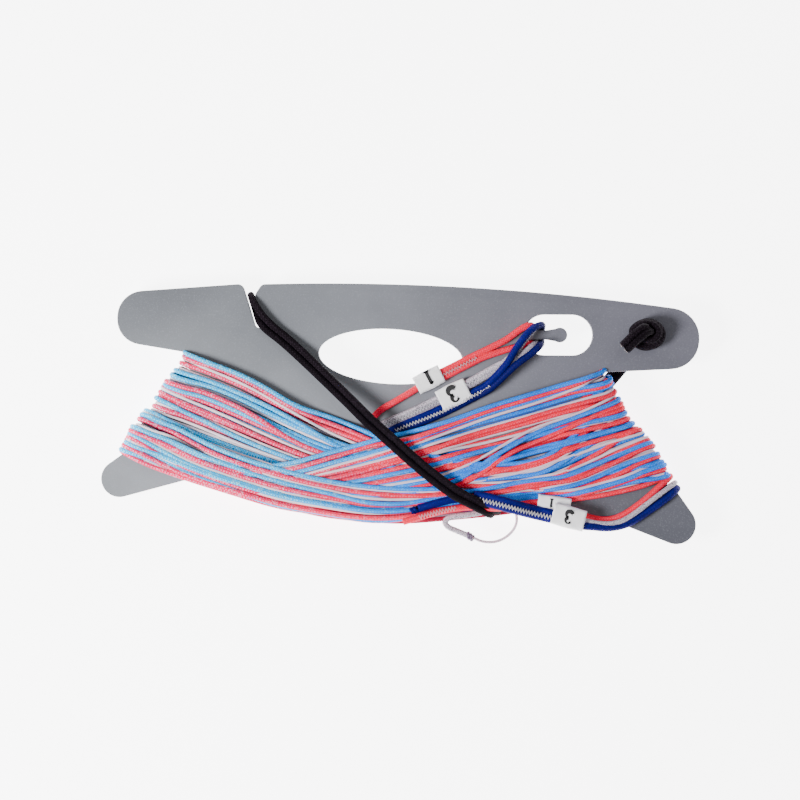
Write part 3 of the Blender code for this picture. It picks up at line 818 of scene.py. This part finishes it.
def stand(obj, body, nodes):
    """The object rides on a body and stands for CAD nodes, which are hidden."""
    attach(obj, body)
    if nodes:
        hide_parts(*nodes)
    return obj


def piece(name, path, radius, material, body, nodes, sides=12):
    """A cord's tube, in its place on a body."""
    return stand(add(name, tube_mesh(name, path, radius, sides), material), body, nodes)


for name, path in lines.items():
    path = softened(evenly(path, 2.1), 0.6)
    radius = LINE_RADII[name]
    obj = piece("flying_line_" + name, path, radius, line_finish[name], "winder", ["wound_flying_lines"],
                8)

# ---------------------------------------------------------------- leaders

LEADER_Z = 15.9                              # of the upper leaders' sewn stretches
TONGUE_CENTRE = (69.25, 38.5)                # the plate's tongue that their loops hang on, its tilt and half width
TONGUE_TILT = math.radians(3.0)
TONGUE_HALF = 2.2

# Middle of each sewn stretch, the legs to both sides of the tongue, and how high they lie on each other
UPPER = {
    "red": dict(
        sewn=[(-9, -16.5), (-10.5, -12.4), (-13, -8.2), (-13.9, -5.0), (-11.4, -1.6), (-4.1, 3.5), (11.0, 13.6),
              (17.4, 17.4), (24.7, 21.6), (30.5, 25.0), (36.0, 28.0)],
        leg_up=[(45.2, 34.8), (49.6, 38.4), (53.6, 41.4)],
        leg_down=[(45.4, 30.2), (50.2, 31.8), (54.8, 33.4)],
        rise=0.0, neck_x=57.0,
    ),
    "grey": dict(
        sewn=[(-18, -16), (-10.5, -8.8), (1.6, -2.5), (14.0, 4.3), (30.0, 14.0), (35.6, 17.6), (39.5, 20.4)],
        leg_up=[(45.4, 25.0), (50.4, 30.2), (54.4, 36.0), (57.2, 40.0)],
        leg_down=[(46.6, 23.2), (51.9, 27.4), (56.0, 31.6), (58.3, 33.8)],
        rise=2.8, neck_x=59.4,
    ),
    "navy": dict(
        sewn=[(-12, -17.5), (-5, -10.8), (1.8, -7.0), (16.8, 0.0), (33.2, 9.5), (38.4, 12.9), (42.2, 15.9)],
        leg_up=[(45.8, 23.4), (50.2, 31.4), (56.2, 39.9)],
        leg_down=[(50.2, 23.4), (57.2, 29.2), (60.4, 32.6)],
        rise=5.7, neck_x=61.7,
    ),
}


def beside(line, offset):
    """A 3-D line moved sideways in XY, to the left of its direction where offset is positive."""
    moved = np.array(line, dtype=float)
    moved[:, :2] += sideways(moved[:, :2]) * np.asarray(offset).reshape(-1, 1)
    return moved


def zigzag(node, line, half, pitch, lift, material, lean=0.0):
    """A zigzag stitch over a sewn stretch of a leader."""
    thread, bulge = 0.42, 0.12
    points = evenly(line, pitch / 2)
    side = np.where(np.arange(len(points)) % 2 == 0, 1.0, -1.0)
    points[:, :2] += sideways(points[:, :2]) * (side * half + lean)[:, None]
    points[:, 2] += lift
    dense = [first * (1 - share) + second * share + np.array([0, 0, bulge * math.sin(share * math.pi)])
             for first, second in zip(points, points[1:]) for share in (0.0, 0.33, 0.67)]
    return piece(node + "_stitching", dense, thread / 2, material, "winder", [node], 6)


for colour, route in UPPER.items():
    node = "upper_leader_" + colour
    diameter = UPPER_SLEEVES[colour]
    middle = through([(x, y, LEADER_Z) for x, y in route["sewn"]], 1.0)
    order = np.arange(len(middle))
    middle[:, 2] += route["rise"] * ramp(order / len(middle), 0.86, 1.02)
    middle[:, 2] -= 0.5 * np.clip(1 - order / 16.0, 0, 1)      # pressed down where the bungee crosses it
    top = LEADER_Z + route["rise"]

    # down one side of the tongue, across behind it and up the other side
    neck_x = route["neck_x"]
    neck_y = TONGUE_CENTRE[1] + (neck_x - TONGUE_CENTRE[0]) * math.tan(TONGUE_TILT)
    side = TONGUE_HALF + diameter / 2 + 0.05
    behind = PLATE_BACK - diameter / 2 - 0.1
    half = [(neck_x - 0.5, side + 0.7, PLATE_FRONT + 1.8), (neck_x, side, PLATE_MIDDLE),
            (neck_x, side - 0.1, PLATE_BACK), (neck_x, side * 0.8, behind + 0.3), (neck_x, side * 0.35, behind)]
    neck = [(x, neck_y + y, z) for x, y, z in half] + [(x, neck_y - y, z) for x, y, z in half[::-1]]

    # the red sleeve's folded end stops inside its tag, the others' run on under the bungee
    inside_tag = 9.0 if colour == "red" else -200.0
    apart = UPPER_SEWN[colour] / 2 * ramp(middle[:, 0], inside_tag - 3, inside_tag + 5)
    out = beside(middle, apart)[::6]
    back = beside(middle, -apart)[middle[:, 0] > inside_tag][::6]
    knots = (out.tolist() + [(x, y, top) for x, y in route["leg_up"]] + neck
             + [(x, y, top) for x, y in route["leg_down"][::-1]] + back[::-1].tolist())
    path = softened(through(knots, 0.8), 2)
    obj = piece(node + "_sleeve", path, diameter / 2, sleeve_finish[colour], "winder", [node])
    stitched = middle[middle[:, 0] > inside_tag + 6][:-4] if colour == "red" else middle[12:-4]
    stitches = zigzag(node, stitched, 0.85, 1.5, diameter / 2 + 0.08,
                      pink_thread if colour == "red" else white_thread, -0.3)

# Routes of the lower leaders over the front, round the right end and a little way along the back
LOWER = {
    "navy": [
        (9.6, -44.6, 22.1), (17.0, -42.0, 22.1), (25.7, -39.4, 22.1), (35.7, -38.2, 22.1),
        (44.0, -39.5, 22.1), (52.0, -41.1, 22.1), (61.0, -43.05, 22.1), (70.0, -44.6, 21.2),
        (79.0, -46.0, 21.1), (86.4, -47.9, 20.9), (91.4, -48.5, 20.0), (96.4, -48.6, 18.6), (101.4, -47.8, 17.2),
        (106.0, -46.2, 16.2), (110.9, -43.1, 15.8), (115.7, -39.4, 15.7), (122.2, -34.4, 15.7),
        (126.3, -30.6, 14.9), (128.4, -28.4, 11.8), (126.8, -30.0, 8.4), (122.6, -33.4, 7.6), (118.4, -36.0, 7.6),
    ],
    "grey": [
        (74.0, -43.0, 20.9), (80.0, -44.2, 20.8), (86.0, -45.8, 20.6), (91.2, -46.6, 19.8), (96.2, -46.7, 19.1),
        (101.0, -45.8, 18.5), (105.0, -43.9, 18.1), (109.8, -40.4, 17.8), (115.6, -35.4, 17.5), (120.4, -31.4, 17.0),
        (125.0, -27.8, 15.2), (127.0, -26.2, 11.8), (125.4, -27.6, 8.4), (121.2, -30.6, 7.7), (117.0, -33.2, 7.7),
    ],
    "red": [
        (3.0, -51.2, 18.7), (9.2, -49.0, 18.7), (18.7, -45.6, 18.8), (28.0, -43.2, 18.8),
        (37.0, -42.4, 18.8), (46.0, -42.4, 18.7), (54.0, -41.0, 18.6), (60.0, -39.4, 17.4),
        (65.0, -38.9, 17.2), (72.0, -40.0, 17.2), (79.0, -42.1, 17.1), (86.0, -43.9, 16.9), (91.6, -45.0, 16.2),
        (96.0, -45.1, 15.6), (100.0, -44.3, 15.5), (103.6, -42.5, 15.5), (108.8, -38.7, 15.5), (114.4, -33.8, 15.5),
        (119.2, -28.8, 15.5), (122.8, -25.2, 14.9), (125.0, -23.0, 11.9), (123.2, -24.7, 8.5), (119.2, -27.4, 7.7),
        (114.6, -30.2, 7.7),
    ],
}


def laid(path, radius, first, last):
    """The path lowered or raised onto the windings where x is under first, and left alone past last."""
    turned = int(np.argmax(path[:, 0]))
    rest = path[:, 2].copy()
    rest[:turned] = pile.rest(path[:turned, :2], radius, 200, 1.0)
    share = ramp(path[:, 0], first, last)
    share[turned:] = 1
    out = path.copy()
    out[:, 2] = rest * (1 - share) + path[:, 2] * share
    return softened(out, 3)


# the red one lies on the windings, the navy one on both; its folded end is sewn to it for a stretch
half_red, half_navy = LOWER_SLEEVES["red"] / 2, LOWER_SLEEVES["navy"] / 2
red = laid(through(LOWER["red"], 0.7), half_red, 52, 62)
in_front = red[red[:, 2] > 14]
pile.add(in_front[:, :2], in_front[:, 2], half_red)
grey = through(LOWER["grey"], 0.7)
navy_middle = laid(through(LOWER["navy"], 0.7), half_navy, 62, 74)
x = navy_middle[:, 0]
turned = int(np.argmax(x))
before_turn = np.arange(len(x)) < turned
share = np.clip((x - 28) / 8, 0, 1) * np.clip((90 - x) / 10, 0, 1) * before_turn
navy = beside(navy_middle, -LOWER_SEWN / 2 * share)
sewn = (x > 34) & (x < 82) & before_turn
navy_return = beside(navy_middle[sewn], LOWER_SEWN / 2)
for path in (navy[:turned], navy_return):
    pile.add(path[:, :2], path[:, 2], half_navy)

navy_stitches = zigzag("lower_leader_navy", navy_middle[sewn][4:-6], 1.15, 1.5, half_navy + 0.08, white_thread, -0.6)
red_neck = (red[:, 0] > 10) & (red[:, 0] < 27) & (np.arange(len(red)) < 200)
red_stitches = zigzag("lower_leader_red", red[red_neck], 1.1, 1.4, half_red + 0.05, pink_thread)
for name, colour, path, stitches in (
        ("navy_sleeve", "navy", evenly(navy, 0.9), (navy_stitches,)),
        ("grey_sleeve", "grey", evenly(grey, 0.9), ()),
        ("red_sleeve", "red", evenly(red, 0.9), (red_stitches,)),
        ("navy_return", "navy", navy_return, ())):
    diameter = LOWER_SLEEVES[colour]
    obj = piece("lower_leader_" + name, path, diameter / 2, sleeve_finish[colour], "winder",
                ["lower_leader_" + colour])


def wrapped_knot(name, centre, along, cord_radius, turns, material):
    """A small pulled-tight stopper knot: turns round the line's direction, the last tucked under the first."""
    wrap_radius = 1.15
    along = unit(np.array(along, dtype=float))
    first = unit(np.cross(along, (0, 0, 1.0)))
    second = np.cross(along, first)
    t = np.linspace(0, 1, int(turns * 16))
    angle = t * turns * 2 * math.pi
    reach = (t - 0.5) * cord_radius * 1.8 * turns
    tuck = np.clip((t - 0.88) / 0.12, 0, 1) + np.clip((0.1 - t) / 0.1, 0, 1)
    size = wrap_radius * (1 + 0.12 * np.sin(angle * 0.5 + 0.6)) * (1 - 0.6 * tuck)
    slant = 0.5 * cord_radius * np.sin(angle + 0.8)
    path = (np.array(centre) + first * (size * np.cos(angle))[:, None] + second * (size * np.sin(angle))[:, None]
            + along * (reach + slant)[:, None])
    return piece(name + "_wraps", path, cord_radius, material, "winder", [name], 10)


wrapped_knot("navy_end_knot", navy[0] - (1.8, 0.9, 0.1), (2.6, 1.5, 0.2), 0.75, 2.4, sleeve_finish["navy"])

# the grey sleeve's end, its stopper knot and the bare line that curls back from it
GREY_END = [
    (44.0, -43.4, 16.4), (39.0, -44.8, 16.8), (34.0, -46.0, 17.2), (30.2, -46.8, 17.3), (26.6, -47.4, 17.2),
    (23.4, -48.6, 17.0), (22.2, -50.5, 16.6), (23.8, -52.5, 16.2), (27.6, -54.0, 15.8), (31.0, -55.2, 15.4),
    (33.0, -55.9, 15.3),
]
GREY_KNOT = (34.0, -56.3, 15.2)
PIGTAIL = [
    (34.6, -56.5, 15.1), (36.6, -57.2, 14.8), (39.0, -58.1, 14.2), (42.0, -58.5, 13.7), (45.4, -58.2, 13.4),
    (48.6, -57.0, 13.4), (51.4, -55.0, 13.6), (53.6, -52.4, 14.0), (54.8, -49.6, 14.6), (55.0, -47.0, 15.2),
    (54.4, -44.4, 15.6), (53.0, -42.2, 15.9),
]
grey_end = through(GREY_END, 0.6)
ribbed = 1.3 + 0.09 * np.sin(np.arange(len(grey_end)) * 2 * math.pi / 3)
obj = piece("lower_grey_sleeve_ribbed", grey_end, ribbed, sleeve_finish["grey"], "winder",
            ["lower_grey_sleeve_end"])
wrapped_knot("grey_stopper_knot", GREY_KNOT, (2.0, -0.7, -0.1), 0.72, 2.5, knot_finish)
tail = through(PIGTAIL, 0.6)
obj = piece("grey_line_pigtail_bare", tail, PIGTAIL_DIAMETER / 2, line_finish["grey"], "pigtail",
            ["grey_line_pigtail"], 10)

# ---------------------------------------------------------------- tags

# Middle, direction along the leader, tilt, length, space inside, number, its height and its shift, body
TAGS = {
    "upper_tag_1": ((11.0, 14.6, LEADER_Z + 0.35), 30.5, 0.0, 13.0, (8.1, 4.0), "1", 6.6, (0.3, 0.8), "upper_tag_one"),
    "upper_tag_3": ((22.9, 7.9, LEADER_Z), 29.5, 0.0, 14.4, (10.5, 3.5), "3", 7.3, (0.0, 0.5), "upper_tag_three"),
    "lower_tag_1": ((71.6, -39.2, 17.4), -5.0, 10.0, 15.2, (6.8, 3.3), "1", 4.0, (-1.4, 0.7), "lower_tag_one"),
    "lower_tag_3": ((78.4, -44.7, 21.45), -11.5, 0.0, 15.2, (9.3, 4.5), "3", 5.9, (0.0, 0.0), "lower_tag_three"),
}


def tag_mesh(name, length, space):
    """A flattened loop of tape round its leader, bowed a little, its cut ends slightly frayed."""
    across, stations = 40, 16
    vertices, faces = [], []
    for thickness in (TAPE, 0.0):
        half_w, half_h = space[0] / 2 + thickness, space[1] / 2 + thickness
        for station in range(stations + 1):
            t = station / stations
            bow = 1 + 0.03 * math.cos((t - 0.5) * math.pi * 2)
            for k in range(across):
                c, s = math.cos(2 * math.pi * k / across), math.sin(2 * math.pi * k / across)
                y, z = half_w * np.sign(c) * abs(c) ** 0.55, half_h * np.sign(s) * abs(s) ** 0.75
                fray = 0.10 * math.sin(k * 2.4 + station) if station in (0, stations) else 0.0
                dip = 0.12 * math.sin(t * math.pi * 3 + y)
                vertices.append(((t - 0.5) * length + fray, y * bow, z * bow + dip * (1 if z > 0 else 0.5)))
    count = (stations + 1) * across
    sides = [(k, (k + 1) % across) for k in range(across)]
    for start in range(0, stations * across, across):
        for a, b in sides:
            faces += [(start + a, start + a + across, start + b + across, start + b),
                      (count + start + a, count + start + b, count + start + b + across, count + start + a + across)]
    for start, order in ((0, 1), (stations * across, -1)):
        faces += [(start + a, start + b, count + start + b, count + start + a)[::order] for a, b in sides]
    return smooth(closed_mesh(name, vertices, faces))


def digit_outline(digit):
    """Strokes of a printed serif numeral, 1 high: each a list of (x, y, half width)."""
    if digit == "1":
        return [
            [(0.0, 0.02, 0.07), (0.0, 0.5, 0.07), (0.0, 0.97, 0.07)],
            [(-0.2, 0.03, 0.035), (0.0, 0.045, 0.045), (0.2, 0.03, 0.035)],
            [(-0.19, 0.84, 0.02), (-0.08, 0.9, 0.04), (0.04, 0.97, 0.05)],
        ]
    top = [(0.2 * math.sin(a), 0.745 + 0.215 * math.cos(a), 0.035 + 0.05 * math.sin(a / 2) ** 2)
           for a in np.linspace(-1.25, 3.1, 22)]
    low = [(0.25 * math.sin(a), 0.275 + 0.245 * math.cos(a), 0.035 + 0.065 * math.sin(a * 0.52) ** 2)
           for a in np.linspace(0.05, 4.35, 26)]
    return [top, low, [(-0.2, 0.81, 0.06), (-0.17, 0.81, 0.06)], [(-0.235, 0.185, 0.065), (-0.2, 0.185, 0.065)]]


def digit_mesh(name, digit, height):
    """Flat strokes of the numeral with a little thickness, middle at the origin, up along +Y."""
    widened, thickness = 1.75, 0.05
    vertices, faces = [], []
    for stroke in digit_outline(digit):
        points = np.array([(x, y) for x, y, _ in stroke])
        start = len(vertices)
        for point, side, (_, _, half) in zip(points, sideways(points), stroke):
            for sign in (1, -1):
                spot = (point + side * sign * half * widened - (0.0, 0.5)) * height
                vertices += [(*spot, 0.0), (*spot, thickness)]
        last = start + 4 * (len(points) - 1)
        for a in range(start, last, 4):
            b = a + 4
            faces += [(a + 1, a + 3, b + 3, b + 1), (a, b, b + 2, a + 2), (a, a + 1, b + 1, b),
                      (a + 2, b + 2, b + 3, a + 3)]
        faces += [(start, start + 2, start + 3, start + 1), (last, last + 1, last + 3, last + 2)]
    return closed_mesh(name, vertices, faces)


for name, (centre, direction, tilt, length, space, digit, height, shift, body) in TAGS.items():
    turn = Matrix.Rotation(math.radians(direction), 4, "Z") @ Matrix.Rotation(math.radians(tilt), 4, "X")
    on_leader = Matrix.Translation(mm(centre)) @ turn
    on_face = Matrix.Translation((shift[0] * 0.001, shift[1] * 0.001, (space[1] / 2 + TAPE) * 0.001 + 0.0002))
    tape = add(name + "_tape", tag_mesh(name + "_tape", length, space), tape_finish)
    tape.matrix_world = on_leader
    number = add(name + "_number", digit_mesh(name + "_number", digit, height), ink_finish)
    number.matrix_world = on_leader @ on_face @ Matrix.Rotation(math.radians(180), 4, "Z")
    for obj in (tape, number):
        stand(obj, body, [name])

# ---------------------------------------------------------------- bungee

# Middle of the two strands, and the direction in degrees from one to the other
BUNGEE_BACK = [
    (111.0, 40.9, 15.4, -40), (111.0, 40.9, 11.4, -40), (110.7, 40.5, 8.8, -40),
    (108.8, 38.2, 7.3, -40), (105.4, 33.6, 6.8, -40), (101.0, 27.6, 6.2, -40),
    (95.6, 20.4, 4.8, -41), (89.6, 13.0, 3.0, -41), (83.0, 5.4, 2.0, -41), (74.0, -4.8, 1.9, -41),
    (64.0, -16.0, 1.9, -41), (54.5, -26.6, 1.9, -38), (48.6, -34.4, 2.1, -30),
    (46.0, -39.8, 3.4, -14), (45.0, -43.0, 6.2, 4), (44.8, -44.6, 9.6, 16),
]
BUNGEE_FRONT = [
    (44.4, -45.0, 14.6, 30), (43.0, -44.4, 18.8, 42),
    (40.2, -43.0, 22.2, 54), (35.2, -40.7, 24.9, 60), (26.0, -36.5, 25.7, 55),
    (15.0, -29.4, 25.7, 52), (5.0, -22.0, 25.7, 52), (-6.0, -13.2, 25.6, 52),
    (-16.0, -5.2, 25.2, 52), (-26.0, 3.6, 23.0, 52), (-40.0, 15.6, 19.4, 53),
    (-52.0, 25.6, 17.0, 54), (-58.0, 30.2, 16.2, 56),
]
LOOP_END = [
    (-60.4, 33.8, 16.2), (-63.4, 36.2, 16.4), (-66.8, 39.4, 16.5), (-69.4, 42.6, 16.2),
    (-71.6, 45.8, 15.2), (-72.8, 48.2, 13.4), (-73.0, 48.6, 11.2), (-72.5, 47.0, 9.2),
    (-71.5, 44.4, 9.0), (-70.5, 41.8, 10.0), (-69.4, 38.9, 12.0), (-68.4, 36.6, 14.2),
    (-66.6, 34.6, 15.6), (-64.0, 32.4, 15.8),
]


def strand(route, side):
    """One of the two strands, beside the middle of both."""
    offset = 1.6
    return [(x + side * offset * math.cos(math.radians(turn)), y + side * offset * math.sin(math.radians(turn)), z)
            for x, y, z, turn in route]


bungee_path = through(strand(BUNGEE_BACK, 1) + strand(BUNGEE_FRONT, 1) + LOOP_END
                      + strand(BUNGEE_FRONT, -1)[::-1] + strand(BUNGEE_BACK, -1)[::-1], 0.9)
bungee = add("bungee_cord", tube_mesh("bungee_cord", bungee_path, BUNGEE_DIAMETER / 2, 12), elastic_finish)
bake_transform(bungee)
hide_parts("bungee_back_strand_a", "bungee_back_strand_b", "bungee_front_strand_a", "bungee_front_strand_b",
            "bungee_loop_end")


def knotted(number, side):
    """One strand of the knot: it turns over itself, winds in to the middle and comes out on top as a tail."""
    t = np.linspace(0, 1, 80)
    rounds = 2.35
    angle = math.radians(115 + 60 * number) - t * 2 * math.pi * rounds
    inward = ramp(t, 0.42, 0.92)
    size = 1 - 0.72 * inward + 0.04 * np.sin(angle * 2 + number)
    height = 15.6 + 1.5 * number + 3.4 * np.minimum(t / 0.5, 1) + 1.6 * inward + 0.9 * np.sin(angle + 0.5)
    turns = np.column_stack([109.7 + 6.8 * size * np.cos(angle), 41.0 + 5.9 * size * np.sin(angle), height])
    foot = [(111.0 + side * 1.2, 40.9 - side * 1.0, 14.6)]
    if number == 0:
        foot += [(113.2, 41.4, 17.0), (112.4, 43.4, 17.6)]
    over = [(109.4 + side * 1.1, 43.6 - side * 1.0, 24.0), (107.0 + side * 1.2, 41.9 - side * 1.1, 25.4),
            (103.8 + side * 1.2, 39.0 - side * 1.15, 25.6), (101.2 + side * 1.15, 36.2 - side * 1.1, 25.0),
            (99.4 + side * 1.1, 34.2 - side * 1.1, 24.2)]
    return softened(through(foot + turns[::4].tolist() + over, 0.6), 2)


def rubber_threads(ends, rng):
    """Pale rubber threads that stand out of a cut end."""
    ahead = unit(ends[-1] - ends[0])
    first = unit(np.cross(ahead, (0, 0, 1.0)))
    second = np.cross(first, ahead)
    cage = bmesh.new()
    for k in range(9):
        angle, reach = k * 2.4, 0.36 * math.sqrt(k)
        foot = ends[-1] + first * reach * math.cos(angle) + second * reach * math.sin(angle) - ahead * 0.4
        tip = foot + ahead * rng.uniform(0.6, 1.25) + first * rng.normal(0, 0.12) + second * rng.normal(0, 0.12)
        thread = tube_mesh("thread", np.linspace(foot, tip, 4), 0.2, 6)
        cage.from_mesh(thread)
        bpy.data.meshes.remove(thread)
    mesh = bpy.data.meshes.new("bungee_cut_end")
    cage.to_mesh(mesh)
    cage.free()
    return mesh


knot_paths = {"a": knotted(0, 1), "b": knotted(1, -1)}
knot_parts = [piece("bungee_knot_strand_" + letter, path, BUNGEE_DIAMETER / 2, elastic_finish, "winder",
                    ["bungee_knot", "bungee_tail_" + letter]) for letter, path in knot_paths.items()]
rng = np.random.default_rng(3)
for letter, path in knot_paths.items():
    cut_end = add("bungee_cut_end_" + letter, rubber_threads(path[-3:], rng), rubber_finish)
    knot_parts.append(stand(cut_end, "winder", []))

# ---------------------------------------------------------------- plate

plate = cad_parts["winder_plate"]
plate.data.materials.clear()
plate.data.materials.append(moulded_plate())

# ---------------------------------------------------------------- floor, light and camera

def pale_floor():
    """Pale studio paper, lit from behind as well as from above."""
    n = Nodes("pale_floor")
    n.shader.inputs["Emission Color"].default_value = (1, 1, 1, 1)
    n.shader.inputs["Emission Strength"].default_value = 6.0
    return n.finish((0.9, 0.9, 0.9), 0.9)


floor_mesh = bpy.data.meshes.new("floor")
floor_mesh.from_pydata([(-3, -3, -0.0005), (3, -3, -0.0005), (3, 3, -0.0005), (-3, 3, -0.0005)], [], [(0, 1, 2, 3)])
floor = add("floor", floor_mesh, pale_floor())

scene = bpy.context.scene
scene.world = bpy.data.worlds.new("studio")
scene.world.use_nodes = True
background = scene.world.node_tree.nodes["Background"]
background.inputs["Color"].default_value = (1, 1, 1, 1)
background.inputs["Strength"].default_value = 0.34


def area_light(name, location, size, power, aim):
    """A round soft light."""
    data = bpy.data.lights.new(name, "AREA")
    data.shape = "DISK"
    data.size = size
    data.energy = power
    obj = bpy.data.objects.new(name, data)
    scene.collection.objects.link(obj)
    obj.location = location
    obj.rotation_euler = (Vector(aim) - Vector(location)).to_track_quat("-Z", "Y").to_euler()


area_light("key", (-0.50, -0.2, 0.58), 0.3, 12.4, (-0.04, 0, 0.012))
area_light("fill", (0.5, 0.6, 1.2), 0.9, 4.0, (0, 0, 0.012))

CAMERA_HEIGHT = 1.6
FOCUS_HEIGHT = 0.0138                        # of the plane that the view's width is measured in
VIEW_WIDTH = 0.368
camera_data = bpy.data.cameras.new("camera")
camera_data.sensor_width = 36
camera_data.lens = 36 * (CAMERA_HEIGHT - FOCUS_HEIGHT) / VIEW_WIDTH
camera = bpy.data.objects.new("camera", camera_data)
scene.collection.objects.link(camera)
camera.location = (-0.0019, 0.0051, CAMERA_HEIGHT)
camera.rotation_euler = (0, 0, math.radians(3.3))
scene.camera = camera
